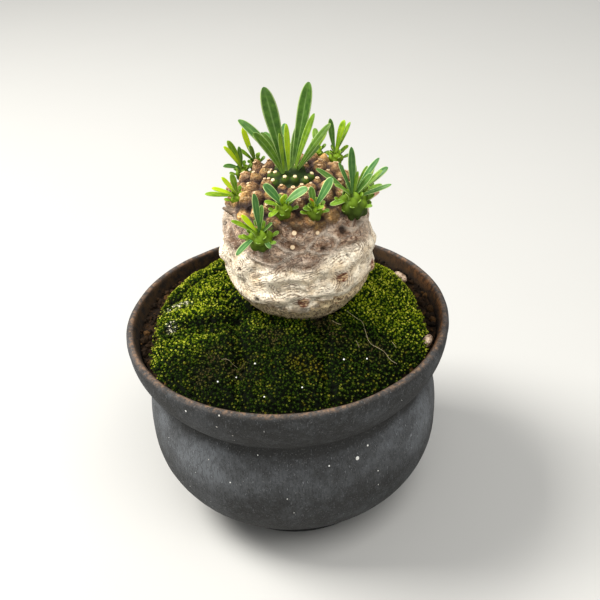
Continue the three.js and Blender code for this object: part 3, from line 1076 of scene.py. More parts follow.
@dataclass(frozen=True)
class FloorFinish:
    """Plain pale floor."""

    pale: str = "aaa9a5"
    haze: str = "a09f9b"

    def build(self) -> Material:
        """Makes the material.

        Returns:
            The material.
        """
        r = Recipe("floor")
        return r.finish(r.blend(r.cloud(60, 3) * 0.15, self.pale, self.haze), 0.9)


def flare_radius(height: float) -> float:
    """Outer radius of the flare at a height.

    Args:
        height: Height above the pot's foot.

    Returns:
        The radius.
    """
    tall = PLAN.rim_height - PLAN.lip_height - PLAN.neck_height
    rise = min(1.0, (height - PLAN.neck_height) / tall)
    swell = math.sin(rise * math.pi / 2) ** PLAN.flare_power
    return PLAN.neck_radius + (PLAN.rim_radius - PLAN.lip_overhang - PLAN.neck_radius) * swell


def belly_radius(height: float) -> float:
    """Outer radius of the belly at a height.

    Args:
        height: Height above the pot's foot.

    Returns:
        The radius.
    """
    if height > PLAN.belly_height:
        rise = (height - PLAN.belly_height) / (PLAN.neck_height - PLAN.belly_height)
        return PLAN.belly_radius - (PLAN.belly_radius - PLAN.neck_radius) * rise**PLAN.neck_power
    drop = (PLAN.belly_height - height) / (PLAN.belly_height + PLAN.belly_sink)
    power = PLAN.belly_roundness
    return PLAN.belly_radius * (1 - drop**power) ** (1 / power)


def outer_radius(height: float) -> float:
    """Outer radius of the pot at a height."""
    return flare_radius(height) if height > PLAN.neck_height else belly_radius(height)


@dataclass
class Pot:
    """The flared clay pot with its foot ring and drain hole."""

    finish: ClayFinish = field(default_factory=ClayFinish)
    segments: int = 192
    recess_radius: float = 24
    recess_depth: float = 2.4
    lip: tuple[Pair, ...] = (
        (0.14, 2.6), (0, 1.7), (0.08, 0.9), (0.5, 0.3), (1.1, 0.03), (1.7, 0.08), (2.3, 0.45),
        (2.75, 1.1),
    )
    inner_heights: tuple[float, ...] = (PLAN.neck_height, 44, 38, 32, 26, 20, 15, 12)
    sunny_turns: tuple[Pair, ...] = ((-134, 42), (-42, 36))
    drift: int = 26
    drift_ends: tuple[Pair, Pair, Pair] = ((-150, -30), (22, 62), (0.08, 0.17))
    seed: int = 8
    specks: tuple[Triple, ...] = (
        (-68, 42.3, 0.6), (-63, 44.8, 0.32), (-79, 42.5, 0.3), (-60, 34.8, 0.28), (-60, 29.2, 0.26),
        (-116, 36.2, 0.24), (-100, 61.3, 0.22), (-105, 46.9, 0.24), (-95, 32.4, 0.24),
        (-93, 26.5, 0.24), (-127, 63, 0.34),
    )

    def profile(self) -> list[Pair]:
        """The closed outline of the wall, from the drain hole round the outside to the inside.

        Returns:
            Radius and height of each corner.
        """
        ring, top = self.recess_radius, PLAN.rim_height
        foot = [
            (PLAN.drain_radius, self.recess_depth),
            (ring, self.recess_depth),
            (ring + 0.3, 0.25),
            (ring + 0.7, 0),
            (PLAN.foot_radius - 0.7, 0),
            (PLAN.foot_radius - 0.15, 0.3),
            (PLAN.foot_radius, 1),
        ]
        belly = [(belly_radius(z), z) for z in np.linspace(PLAN.foot_height, PLAN.neck_height - 0.35, 30)]
        flare = [(flare_radius(z), z) for z in np.linspace(PLAN.neck_height + 0.45, top - 3.2, 14)]
        lip = [(PLAN.rim_radius - inward, top - down) for inward, down in self.lip]
        inner = [(outer_radius(z) - PLAN.wall, z) for z in (*np.linspace(62, 51, 9), *self.inner_heights)]
        base = [(inner[-1][0] - 3, PLAN.floor_top), (PLAN.drain_radius, PLAN.floor_top)]
        return foot + belly + flare + lip + inner + base

    def shell(self) -> Mesh:
        """Spins the outline into the wall.

        Returns:
            The mesh, a little uneven as thrown clay is.
        """
        bm = bmesh.new()
        corners = [bm.verts.new((r, 0, z)) for r, z in self.profile()]
        edges = [bm.edges.new(pair) for pair in zip(corners, corners[1:] + corners[:1])]
        bmesh.ops.spin(
            bm,
            geom=corners + edges,
            cent=(0, 0, 0),
            axis=(0, 0, 1),
            angle=2 * math.pi,
            steps=self.segments,
            use_merge=True,
        )
        bmesh.ops.remove_doubles(bm, verts=bm.verts, dist=1e-4)
        bmesh.ops.recalc_face_normals(bm, faces=bm.faces)
        mesh = to_mesh(bm, "pot_shell")
        points = points_of(mesh)
        radius = np.hypot(points[:, 0], points[:, 1])
        uneven = 0.22 * wander(points, 22, 3) + 0.07 * wander(points, 5, 9)
        free = smooth((points[:, 2] - 5) / 8) * (radius > 10)
        scale = 1 + np.minimum(uneven, 0.0) * free / np.maximum(radius, 1)
        points[:, 0] *= scale
        points[:, 1] *= scale
        near_lip = smooth((points[:, 2] - 62) / 4)
        points[:, 2] -= near_lip * 0.28 * np.abs(wander(points, 14, 21))
        return move_points(mesh, points)

    def paint(self, points: np.ndarray) -> np.ndarray:
        """Where light and shade are painted on the clay, where it is worn, and where it is brown inside.

        Args:
            points: The shell's points.

        Returns:
            Three shares for each point: painted light and shade, wear, and inside.
        """
        x, y, z = points.T
        radius = np.hypot(x, y)
        turn = np.degrees(np.arctan2(y, x))
        wall = np.array([outer_radius(float(height)) for height in np.clip(z, PLAN.foot_height, 63.3)])
        inner = smooth((wall - radius - 1.0) / 1.2) * (z > PLAN.floor_top - 1)
        # Painted light: lighter on the upper belly and on the two sunlit shoulders.
        high = close_to(z, 40.5, 11, 1.15)
        shoulder = high * np.max([close_to(turn, *ends) for ends in self.sunny_turns], axis=0)
        band = smooth((z - 63.2) / 1.0) * (1 - inner)
        wear = smooth((z - (PLAN.rim_height - 0.55)) / 0.45)
        rubbed = inner * smooth((z - (PLAN.rim_height - 3.6)) / 3.2) * close_to(turn, -4, 40, 1.3)
        inner = inner * (1 - 0.6 * wear)
        wear = np.maximum(wear, 0.8 * rubbed)
        # Painted shade under the flare, at the neck.
        neck_shade = close_to(z, 48.4, 2.6)
        # The first share is painted light and shade, and a little darker on the band at the lip.
        return columns(0.8 * shoulder + 0.14 * high - 0.05 * band - 0.5 * neck_shade, wear, inner)

    def build(self) -> None:
        """Makes the pot."""
        mesh = self.shell()
        body = Assembly("pot_shell")
        body.add(mesh, clay=self.paint(points_of(mesh)))
        settle(body.piece(self.finish.build()), Slot.CLAY, "pot")
        self.build_specks()

    def build_specks(self) -> None:
        """Adds crumbs of white lime that stick to the wall."""
        rng = np.random.default_rng(self.seed)
        drift = zip(*(rng.uniform(*ends, self.drift) for ends in self.drift_ends))
        specks = Assembly("lime_specks")
        for turn, height, size in (*self.specks, *drift):
            out = Vector(outward(math.radians(turn)))
            spot = out * (outer_radius(height) - 0.12) + Vector((0, 0, height))
            turned = out.to_track_quat("Z", "Y").to_matrix().to_4x4()
            shape = Matrix.Translation(spot) @ turned @ Matrix.Diagonal((size, size * 1.25, size * 0.6, 1))
            specks.add(crystal(2, "speck", place=shape))
        settle(specks.piece(DryFibreFinish("lime_speck", "eeeeea", "cfcec6").build()), Slot.CLAY)


@dataclass(frozen=True)
class Pebble:
    """A loose stone: its node, spot, turn in degrees, half sizes, seed and number of flat faces."""

    node: str
    spot: Pair
    turn: float
    half: Triple
    seed: int
    facets: int = 14

    def covers(self, x: np.ndarray, y: np.ndarray, margin: float) -> np.ndarray:
        """Tells which places lie on the stone or near it.

        Args:
            x: Places across.
            y: Places back.
            margin: How far round the stone still counts.

        Returns:
            True for each such place.
        """
        turn = math.radians(self.turn)
        away_x, away_y = x - self.spot[0], y - self.spot[1]
        along = away_x * math.cos(turn) + away_y * math.sin(turn)
        side = away_y * math.cos(turn) - away_x * math.sin(turn)
        return np.hypot(along / (self.half[0] + margin), side / (self.half[1] + margin)) < 1


PEBBLES = (
    Pebble("stone_back_right", (38.2, 18.2), -63, (2.9, 1.6, 1.7), 4),
    Pebble("stone_right", (41.0, -17.8), -114, (2.6, 1.5, 1.7), 9),
)


@dataclass
class Ground:
    """The soil, the loose grains at its edge, two stones and the drain mesh."""

    grains: int = 1500
    ring: Pair = (36.5, 46.1)
    wall: float = 46.3
    seed: int = 11

    def dress_nodes(self, nodes: dict[str, Object]) -> None:
        """Gives the hidden solids their finishes.

        Args:
            nodes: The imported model's nodes.
        """
        for name, finish in (("drain_mesh", PlasticFinish()), ("soil", SoilFinish())):
            nodes[name].data.materials.clear()
            nodes[name].data.materials.append(finish.build())

    def loose_grains(self) -> None:
        """Scatters crumbs of the mix round the moss and against the wall."""
        rng = np.random.default_rng(self.seed)
        count = self.grains
        template = crystal(1, "grain")
        shape = points_of(template)
        shape *= 1 + 0.35 * wander(shape, 0.9, 5)[:, None]
        move_points(template, shape)
        turn = rng.uniform(0, 2 * math.pi, count)
        radius = rng.uniform(*self.ring, count)
        size = 0.3 + 1.05 * rng.random(count) ** 3
        radius = np.minimum(radius, self.wall - size)
        bank = 0.9 * smooth((radius - 43.5) / 3) * rng.random(count)
        spots = round_places(radius, turn, PLAN.soil_height + 0.35 * size + bank)
        normals = rng.normal(size=(count, 3)) + [0, 0, 0.3]
        places = facing(normals, rng.uniform(0, 6, count), size, spots)
        places[:, :, 0] *= rng.uniform(0.7, 1.3, count)[:, None]
        mesh = scattered(template, places)
        shade = rng.random(count) ** 3
        rows = columns(shade, rng.random(count), shade)
        heap = Assembly("soil_grains")
        heap.add(mesh, grain=np.repeat(rows, len(shape), axis=0))
        bpy.data.meshes.remove(template)
        settle(heap.piece(GrainFinish().build(), shade_smooth=False), Slot.SOIL)

    def stone(self, pebble: Pebble, material: Material) -> None:
        """Makes a rough, faceted stone in place of a node.

        Args:
            pebble: The stone.
            material: Its finish.
        """
        low, high = (np.array(corner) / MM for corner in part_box(pebble.node))
        mesh = crystal(4, pebble.node)
        unit = points_of(mesh)
        rng = np.random.default_rng(pebble.seed)
        facets = rng.normal(size=(pebble.facets, 3))
        facets /= np.linalg.norm(facets, axis=1)[:, None]
        depths = rng.uniform(0.74, 0.96, pebble.facets)
        reach = np.min(depths / np.maximum(unit @ facets.T, 0.01), axis=1)
        rough = 0.07 * wander(unit, 0.45, pebble.seed) + 0.05 * wander(unit, 0.2, pebble.seed)
        shape = unit * (np.minimum(reach, 0.98) + rough)[:, None] * pebble.half
        turn = np.array(Matrix.Rotation(math.radians(pebble.turn), 3, "Z"))
        move_points(mesh, (low + high) / 2 + shape @ turn.T)
        body = Assembly(pebble.node + "_rough")
        body.add(mesh)
        settle(body.piece(material), Slot.STONE, pebble.node)

    def build(self, nodes: dict[str, Object]) -> None:
        """Makes everything that lies under and beside the moss.

        Args:
            nodes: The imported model's nodes.
        """
        self.dress_nodes(nodes)
        self.loose_grains()
        material = StoneFinish().build()
        for pebble in PEBBLES:
            self.stone(pebble, material)


@dataclass(frozen=True)
class Cushion:
    """A moss cushion: its seed point and its pull in the share-out of the bed."""

    name: str
    x: float
    y: float
    reach: float


CUSHIONS = (
    Cushion("moss_cushion_left", -26, 5, 45),
    Cushion("moss_cushion_front_left", -26, -22, 45),
    Cushion("moss_cushion_front", -4, -23, 45),
    Cushion("moss_cushion_right", 22, -23, 45),
    Cushion("moss_cushion_back_left", -34, 13.5, 44.3),
    Cushion("moss_cushion_back", 4, 33, 30),
)


@dataclass
class MossBed:
    """Moss cushions made of star-shaped tufts on domes painted nearly black as the shade between the tufts.
    """

    finish: MossFinish = field(default_factory=MossFinish)
    spacing: float = 0.84
    tuft_height: float = 1.6
    collar: float = 16.6
    back_edge: float = 40.8
    front_swell: float = 5.1
    grid_half: float = 47
    row_share: float = 0.866
    jitter: float = 0.2
    dome_segments: int = 72
    dome_rings: int = 24
    whorls: tuple[tuple[int, float, float, float], ...] = ((6, 66, 0.8, 0.6), (5, 32, 0.62, 1.05))
    seed: int = 23
    bleached: tuple[Pair, ...] = ((-35.1, 1.6), (-32.6, 2.0), (-30.4, 2.1), (-35.0, -6.4))
    # Dips in the moss, as x, y, reach and depth: they lower it, and it is also painted darker as shade there.
    hollows: tuple[tuple[float, float, float, float], ...] = (
        (-15.5, -9.5, 4.2, 3.4), (-15.5, -3, 4.0, 3.6), (-18.5, 2.5, 3.2, 3.0),
        (-20.0, -13.5, 3.4, 2.6), (-25.0, -12.5, 2.8, 2.0), (-14.0, -27.0, 3.0, 1.6),
        (8.0, -20.0, 3.2, 1.8),
    )
    olive: tuple[Pair, ...] = ((4.5, -32.2), (1.5, -31.0), (7.0, -33.0))
    shaded: tuple[Pair, ...] = (
        (-21, -25), (-17, -28.5), (-13, -30), (-24, -31), (-5, -20.7), (14, -22), (24, -27),
        (12, -15),
    )

    def edge(self, turn: np.ndarray) -> np.ndarray:
        """Outer radius of the bed at a turn."""
        return self.back_edge + self.front_swell * smooth(-np.sin(turn) / 0.6)

    def pull(self, x: np.ndarray, y: np.ndarray) -> np.ndarray:
        """Which cushion owns each place, and how far its crease is.

        Args:
            x: Places across.
            y: Places back.

        Returns:
            A row of the owner's number and the distance to its nearest crease, for each place.
        """
        powers = np.stack([(x - c.x) ** 2 + (y - c.y) ** 2 - c.reach**2 for c in CUSHIONS])
        owner = np.argmin(powers, axis=0)
        best = np.min(powers, axis=0)
        near = np.full(len(x), FAR_AWAY)
        for i, cushion in enumerate(CUSHIONS):
            apart = np.array([math.hypot(cushion.x - c.x, cushion.y - c.y) for c in CUSHIONS])[owner]
            gap = (powers[i] - best) / (2 * np.maximum(apart, 1e-6))
            near = np.where(owner == i, near, np.minimum(near, gap))
        return columns(owner, near)

    def height(self, x: np.ndarray, y: np.ndarray) -> tuple[np.ndarray, np.ndarray, np.ndarray]:
        """Height of the moss.

        Args:
            x: Places across.
            y: Places back.

        Returns:
            Height, owner, and how open each place is, 0 in a crease to 1 on a cushion and lower in dips and
            low lumps, for each place; this last sets the painted shade.
        """
        flat = columns(x, y, 0)
        bent_x = x + 2.4 * wander(flat, 9, 31) + 0.9 * wander(flat, 3, 5)
        bent_y = y + 2.4 * wander(flat, 9, 47) + 0.9 * wander(flat, 3, 15)
        owner, near = self.pull(bent_x, bent_y).T
        radius = np.hypot(x, y)
        rim = self.edge(np.arctan2(y, x)) + 0.8 * wander(flat, 4, 12) - radius
        dome = PLAN.moss_edge + PLAN.moss_dome * (1 - (radius / PLAN.rim_radius) ** 2)
        crease = 1 - np.clip(near / 4.2, 0, 1)
        roll = 1 - np.clip(rim / 6.5, 0, 1)
        lumps = 1.5 * wander(flat, 8, 3) + 0.75 * wander(flat, 3.6, 8)
        dips = np.zeros(len(x))
        for dip_x, dip_y, reach, depth in self.hollows:
            dips = np.maximum(dips, depth * close_to(np.hypot(x - dip_x, y - dip_y), 0, reach))
        top = dome + 0.1 + lumps - 3.4 * crease**2 - dips
        z = PLAN.soil_height + 0.6 + (top - PLAN.soil_height - 0.6) * np.sqrt(np.clip(1 - roll**2.2, 0, 1))
        # How open each place is; where it is low, the moss is painted darker as shade.
        open_ = (1 - crease) ** 1.5 * (0.55 + 0.45 * smooth(0.5 + lumps / 1.1))
        return z, owner, open_ * (1 - dips / 3.3)

    def tuft(self) -> tuple[Mesh, np.ndarray]:
        """One star of pointed leaves.

        Returns:
            The mesh and how near each point is to a tip.
        """
        bm = bmesh.new()
        for count, lean, length, foot in self.whorls:
            for i in range(count):
                turn = 2 * math.pi * i / count + foot
                tilt = Matrix.Rotation(turn, 4, "Z") @ Matrix.Rotation(math.radians(lean), 4, "Y")
                flat = Matrix.Diagonal((0.45, 1.0, 1.0, 1.0)) @ Matrix.Translation((0, 0, length / 2))
                stand = Matrix.Translation((0, 0, foot)) @ tilt @ flat
                bmesh.ops.create_cone(
                    bm, cap_ends=True, segments=3, radius1=0.21, radius2=0, depth=length, matrix=stand
                )
        bm.verts.ensure_lookup_table()
        share = np.array([v.co.length for v in bm.verts])
        low = np.array([v.co.z for v in bm.verts])
        tip = np.clip((np.maximum(share, low) - 0.6) / 0.95, 0, 1)
        return to_mesh(bm, "tuft"), tip

    def near_any(self, x: np.ndarray, y: np.ndarray, spots: Sequence[Pair], reach: float) -> np.ndarray:
        """1 at any of some spots, falling to 0 beyond their reach."""
        return close_to(np.min([np.hypot(x - a, y - b) for a, b in spots], axis=0), 0, reach, 1.3)

    def dome(self, cushion: Cushion, index: int, sink: float) -> Mesh:
        """The body under a cushion's tufts, painted nearly black as the shade between them.

        Args:
            cushion: The cushion.
            index: Its number.
            sink: How far it lies under the tufts' tips.

        Returns:
            The mesh.
        """
        mesh = ball(self.dome_segments, self.dome_rings, cushion.name)
        polar, turn = ball_angles(points_of(mesh))
        turns, rank = np.unique(turn.round(5), return_inverse=True)
        far = np.array([self.cushion_reach(cushion, index, a) for a in turns])[rank]
        level = math.pi / 2
        share = np.minimum(1, np.where(polar < level, polar / level, 1.0 - (polar - level)))
        share = np.clip(np.where(polar > math.pi * 0.98, 0, share), 0, 1)
        x = cushion.x + far * share * np.cos(turn)
        y = cushion.y + far * share * np.sin(turn)
        top = self.height(x, y)[0] - sink
        base = PLAN.soil_height + 0.25
        z = np.where(polar <= level, np.maximum(top, base + 0.1), base)
        return move_points(mesh, columns(x, y, z))

    def cushion_reach(self, cushion: Cushion, index: int, turn: float) -> float:
        """How far a cushion reaches from its seed point along a turn.

        Args:
            cushion: The cushion.
            index: Its number.
            turn: The turn, in radians.

        Returns:
            The distance.
        """
        steps = np.arange(0.2, 60, 0.2)
        x = cushion.x + steps * math.cos(turn)
        y = cushion.y + steps * math.sin(turn)
        inside = np.hypot(x, y) < self.edge(np.arctan2(y, x)) - 0.3
        clear = np.hypot(x - PLAN.caudex[0], y - PLAN.caudex[1]) > self.collar
        own = self.pull(x, y)[:, 0] == index
        for pebble in PEBBLES:
            clear &= ~pebble.covers(x, y, 0.1)
        stop = np.argmin(inside & clear & own)
        return float(steps[stop])

    def build(self) -> None:
        """Makes every cushion."""
        material = self.finish.build()
        rng = np.random.default_rng(self.seed)
        across = np.arange(-self.grid_half, self.grid_half, self.spacing)
        back = np.arange(-self.grid_half, self.grid_half, self.spacing * self.row_share)
        grid_x, grid_y = np.meshgrid(across, back)
        grid_x = grid_x + (np.arange(len(back)) % 2)[:, None] * self.spacing / 2
        x = grid_x.ravel() + rng.normal(0, self.jitter, grid_x.size)
        y = grid_y.ravel() + rng.normal(0, self.jitter, grid_x.size)
        keep = np.hypot(x, y) < self.edge(np.arctan2(y, x)) - 0.4
        keep &= np.hypot(x - PLAN.caudex[0], y - PLAN.caudex[1]) > self.collar + 0.1
        for pebble in PEBBLES:
            keep &= ~pebble.covers(x, y, 0.35)
        x, y = x[keep], y[keep]
        count = len(x)
        step = 0.4
        z, owner, open_ = self.height(x, y)
        slope_x = (self.height(x + step, y)[0] - self.height(x - step, y)[0]) / (2 * step)
        slope_y = (self.height(x, y + step)[0] - self.height(x, y - step)[0]) / (2 * step)
        normals = columns(-0.8 * slope_x, -0.8 * slope_y, 1)
        normals += rng.normal(0, self.jitter, normals.shape)
        size = rng.uniform(0.72, 1.18, count)
        tint = rng.random(count)
        bleach = self.near_any(x, y, self.bleached, 1.7) * (rng.random(count) < 0.7)
        yellow = self.near_any(x, y, self.olive, 3.0) * rng.random(count)
        yellow = np.maximum(yellow, 0.5 * (rng.random(count) < 0.06))
        dull = self.near_any(x, y, self.shaded, 4.5) * (rng.random(count) < 0.55)
        # Painted light and shade: lighter towards the back right, darker towards the front, in creases and in
        # dips.
        sunny = smooth((0.62 * np.abs(x - 4) + 0.55 * y + 4) / 22)
        sunny = sunny * (1 - 0.45 * smooth((-x - 8) / 18))
        gloom = smooth((-y - 10) / 16) * (1 - sunny)
        shade = np.clip(1.18 + 0.9 * gloom - open_ - 0.62 * sunny, 0, 1)
        template, tip = self.tuft()
        spots = columns(x, y, z - self.tuft_height * size)
        for index, cushion in enumerate(CUSHIONS):
            mine = owner == index
            places = facing(normals[mine], rng.uniform(0, 6.3, mine.sum()), size[mine], spots[mine])
            mesh = scattered(template, places)
            star = np.repeat(columns(0, tint, bleach)[mine], len(tip), axis=0)
            star[:, 0] = np.tile(tip, mine.sum())
            bed = np.repeat(columns(yellow, shade, dull)[mine], len(tip), axis=0)
            pad = Assembly(cushion.name.replace("cushion", "tufts"))
            pad.add(self.dome(cushion, index, self.tuft_height * 1.05), tuft=np.zeros(3), bed=np.zeros(3))
            pad.add(mesh, tuft=star, bed=bed)
            settle(pad.piece(material, shade_smooth=False), Slot.MOSS, cushion.name)
        bpy.data.meshes.remove(template)


@dataclass(frozen=True)
class Knob:
    """A tubercle: its distance down from the crown, its turn, its width and its height."""

    along: float
    turn: float
    width: float
    height: float


def spiral(
    start: float,
    end: float,
    radius_at: Callable[[float], float],
    cell_at: Callable[[float], float],
    height_at: Callable[[float], float],
) -> list[Knob]:
    """Tubercles that march down a skin, one to each cell.

    Args:
        start: Distance from the top where they begin.
        end: Distance where they end.
        radius_at: The skin's radius at a distance.
        cell_at: The area of a cell at a distance.
        height_at: The height of a tubercle at a distance.

    Returns:
        The tubercles.
    """
    knobs = []
    along, turn = start, 0.4
    while along < end:
        cell = cell_at(along)
        knobs.append(Knob(along, turn, math.sqrt(cell) * 0.62, height_at(along)))
        along += cell / (2 * math.pi * radius_at(along))
        turn += GOLDEN_ANGLE
    return knobs


def knob_field(
    knobs: Iterable[Knob], along: np.ndarray, turn: np.ndarray, radius: np.ndarray, power: float = 1.6
) -> tuple[np.ndarray, np.ndarray, np.ndarray]:
    """How far tubercles lift a skin.

    Args:
        knobs: The tubercles.
        along: Distance of each point from the top.
        turn: Turn of each point.
        radius: The skin's radius at each point.
        power: Roundness of a tubercle.

    Returns:
        The lift, each point's height as a share of its tubercle's, and that tubercle's number.
    """
    lift = np.zeros(len(along))
    share = np.zeros(len(along))
    owner = np.zeros(len(along), int)
    for i, knob in enumerate(knobs):
        around = (turn - knob.turn + math.pi) % (2 * math.pi) - math.pi
        away = np.hypot(along - knob.along, around * radius) / knob.width
        rise = np.where(away < 1, 1 - np.clip(away, 0, 1) ** power, 0)
        lift = np.maximum(lift, knob.height * rise)
        owner = np.where(rise > share, i, owner)
        share = np.maximum(share, rise)
    return lift, share, owner


def barrel_radius(height: np.ndarray) -> np.ndarray:
    """The barrel's radius at a height.

    Args:
        height: Heights above the pot's foot.

    Returns:
        A radius for each height.
    """
    above = height > PLAN.waist
    share = np.abs(height - PLAN.waist) / np.where(above, PLAN.rise, PLAN.fall)
    roundness = np.where(above, PLAN.barrel_power_above, PLAN.barrel_power_below)
    return PLAN.caudex_radius * np.clip(1 - share**roundness, 0, 1) ** (1 / roundness)


@dataclass
class Caudex:
    """The barrel-shaped stem: tubercles above, folded papery bark below, a fibrous foot."""

    finish: BarkFinish = field(default_factory=BarkFinish)
    segments: int = 320
    step: float = 0.42
    climb_power: float = 0.606
    roots: int = 5
    crown_knobs: int = 8
    scar_clearance: float = 4.2
    knob_seed: int = 3
    tone_seed: int = 9
    scar_seed: int = 5
    taproot: tuple[Pair, ...] = (
        (0, 44), (2.4, 44.3), (4.4, 45.2), (5.6, 50), (7, 56), (8.3, 61), (10, 66), (12.6, 69.2),
    )
    ridges: tuple[tuple[Pair, ...], ...] = (
        (
            (-111, 100.6), (-105, 99.3), (-99, 98), (-92, 97.6), (-85, 98.2), (-81, 99.8), (-76, 101.3),
            (-67, 102.3),
        ),
        ((-134, 96.1), (-129, 94.9), (-122, 94.3), (-113, 93.8), (-106, 94.6), (-99, 96.6), (-92, 97.7)),
        ((-85, 98.2), (-76, 96.6), (-66, 96), (-61, 97.1), (-58, 98.6), (-61, 100.5), (-70, 101.9)),
        ((-129, 89.3), (-116, 91.7), (-109, 93.8)),
        ((-96, 92.6), (-89, 91.7), (-82, 91.8), (-74, 93.5), (-64, 95.2), (-58, 96.1), (-42, 94.9)),
        ((-122, 78.6), (-109, 80.1), (-97, 81), (-88, 82.2), (-78, 81.1), (-66, 79.7)),
        ((-108, 86.1), (-99, 87.2), (-91, 86.9), (-86, 85.4), (-78, 86.9), (-69, 86.7)),
        ((-51, 102.3), (-44, 99.8), (-33, 99.7), (-17, 99.5)),
        ((-10, 96), (8, 94), (26, 95.5), (44, 93.5)),
        ((60, 96), (82, 94.2), (104, 95.6), (128, 93.8)),
        ((148, 95), (166, 93), (184, 94)),
        ((70, 84), (98, 85.5), (126, 83.6), (152, 85)),
        ((2, 84.5), (22, 86), (44, 84.6)),
    )
    edges: tuple[Triple, ...] = (
        (-180, 93, 82), (-155, 94, 82.4), (-135, 95.6, 80.3), (-124, 93.5, 79.2),
        (-113, 92.2, 78.6), (-98, 92.5, 77.6), (-88, 91.3, 77.8), (-77, 92.6, 79.2),
        (-64, 94.9, 80.6), (-54, 95.5, 81.3), (-36, 94.5, 82.2), (-7, 93, 83), (30, 92, 82),
        (80, 93.5, 82.5), (130, 92, 81.5), (180, 93, 82),
    )
    root_scars: tuple[Triple, ...] = (
        (-59, 87.9, 1.7), (-90, 81.3, 1.8), (-22, 84.7, 1.7), (-176, 85.5, 1.3), (36, 82, 1.4),
        (95, 86, 1.5), (140, 81, 1.2),
    )
    pits: tuple[Triple, ...] = (
        (-53, 93.9, 0.4), (-51, 101.1, 1.1), (-170, 99.3, 0.7), (-125, 82.3, 0.6), (-72, 97.6, 0.6),
        (-139, 90.5, 0.5), (60, 90, 0.5), (110, 97, 0.8),
    )
    corky: tuple[Triple, ...] = ((-94, 103.2, 1), (-96, 99.4, 1), (-74, 102.5, 0.9))
    nubs: tuple[Triple, ...] = (
        (20.8, 199, 4.8), (21.5, 224, 1.8), (20.2, -18, 2.6), (19, 176, 2),
    )
    dents: tuple[Triple, ...] = ((196, 102.4, 2.4), (176, 102.8, 2.2), (-24, 101.5, 1.6))
    stains: tuple[Triple, ...] = (
        (-96, 99.0, 1.9), (-91, 104.6, 1.7), (-72, 102.9, 1.9), (-52, 101, 1.6), (-109, 103, 1.5),
        (-32, 100.8, 1.4), (-152, 98.6, 1.6), (-142, 95.7, 1.4), (-43, 95.2, 1.0),
        (-124, 92.4, 1.2), (-125, 105.5, 1.6), (-71, 98.8, 1.2), (150, 99, 1.5), (115, 102, 1.5),
        (80, 100, 1.6), (40, 99, 1.5), (8, 101, 1.4),
    )

    def outline(self) -> np.ndarray:
        """Radius and height from the taproot's end up to the top, evenly spaced on the barrel.

        Returns:
            One row for each ring.
        """
        under = np.linspace(71.5, PLAN.waist, 200)
        climb = np.linspace(0, 1, 1500)[1:]
        over = PLAN.waist + PLAN.rise * np.sin(climb * math.pi / 2) ** self.climb_power
        z = np.concatenate([under, over])
        dense = columns(barrel_radius(z), z)
        dense[-1, 0] = 0
        lengths = np.concatenate([[0], np.cumsum(np.hypot(*np.diff(dense, axis=0).T))])
        marks = np.linspace(0, lengths[-1], int(lengths[-1] / self.step))
        even = columns(*(np.interp(marks, lengths, line) for line in dense.T))
        return np.concatenate([self.taproot, even])

    def knobs(self) -> list[Knob]:
        """The tubercles, as in the solids."""
        return spiral(
            8.6,
            37,
            lambda along: min(PLAN.caudex_radius, along),
            lambda along: float(mix(15, 44, smooth((along - 12) / 20))),
            lambda along: float(mix(2.3, 0.7, smooth((along - 16) / 12))),
        )

    def rough_knobs(self) -> list[Knob]:
        """The tubercles, uneven as grown ones are.

        Returns:
            The tubercles.
        """
        rng = np.random.default_rng(self.knob_seed)
        made = []
        for knob in self.knobs():
            near, aside, tall, wide = rng.uniform(-1, 1, 4)
            turn = knob.turn + 0.35 * aside / min(PLAN.caudex_radius, knob.along)
            width, height = knob.width * (1.12 + 0.16 * wide), knob.height * (1.4 + 0.5 * tall)
            made.append(Knob(knob.along + 0.5 * near, turn, width, height))
        count = self.crown_knobs
        return made + [Knob(7.4, 2 * math.pi * i / count + 0.25, 1.7, 1.5) for i in range(count)]

    def path_distance(
        self, path: Sequence[Pair], turn: np.ndarray, z: np.ndarray
    ) -> np.ndarray:
        """Distance on the skin to a path of turns and heights.

        Args:
            path: Corners, in degrees and millimetres.
            turn: Turn of each point, in radians.
            z: Height of each point.

        Returns:
            The distance of each point.
        """
        scale = math.radians(1) * PLAN.caudex_radius
        best = np.full(len(turn), FAR_AWAY)
        for (a0, z0), (a1, z1) in zip(path, path[1:]):
            centre = math.radians((a0 + a1) / 2)
            around = np.degrees((turn - centre + math.pi) % (2 * math.pi) - math.pi) * scale
            half = (a1 - a0) / 2 * scale
            run = np.array([2 * half, z1 - z0])
            offset = columns(around + half, z - z0)
            share = np.clip(offset @ run / (run @ run), 0, 1)
            best = np.minimum(best, np.hypot(*(offset - share[:, None] * run).T))
        return best

    def spot_share(
        self, spots: Sequence[Triple], turn: np.ndarray, z: np.ndarray
    ) -> np.ndarray:
        """How near points are to round marks.

        Args:
            spots: Turn in degrees, height and radius of each mark.
            turn: Turn of each point, in radians.
            z: Height of each point.

        Returns:
            1 in a mark, 0 outside.
        """
        best = np.zeros(len(turn))
        for angle, height, radius in spots:
            away = self.path_distance(((angle, height), (angle + 0.1, height)), turn, z)
            best = np.maximum(best, close_to(away, 0, radius, 1.6))
        return best

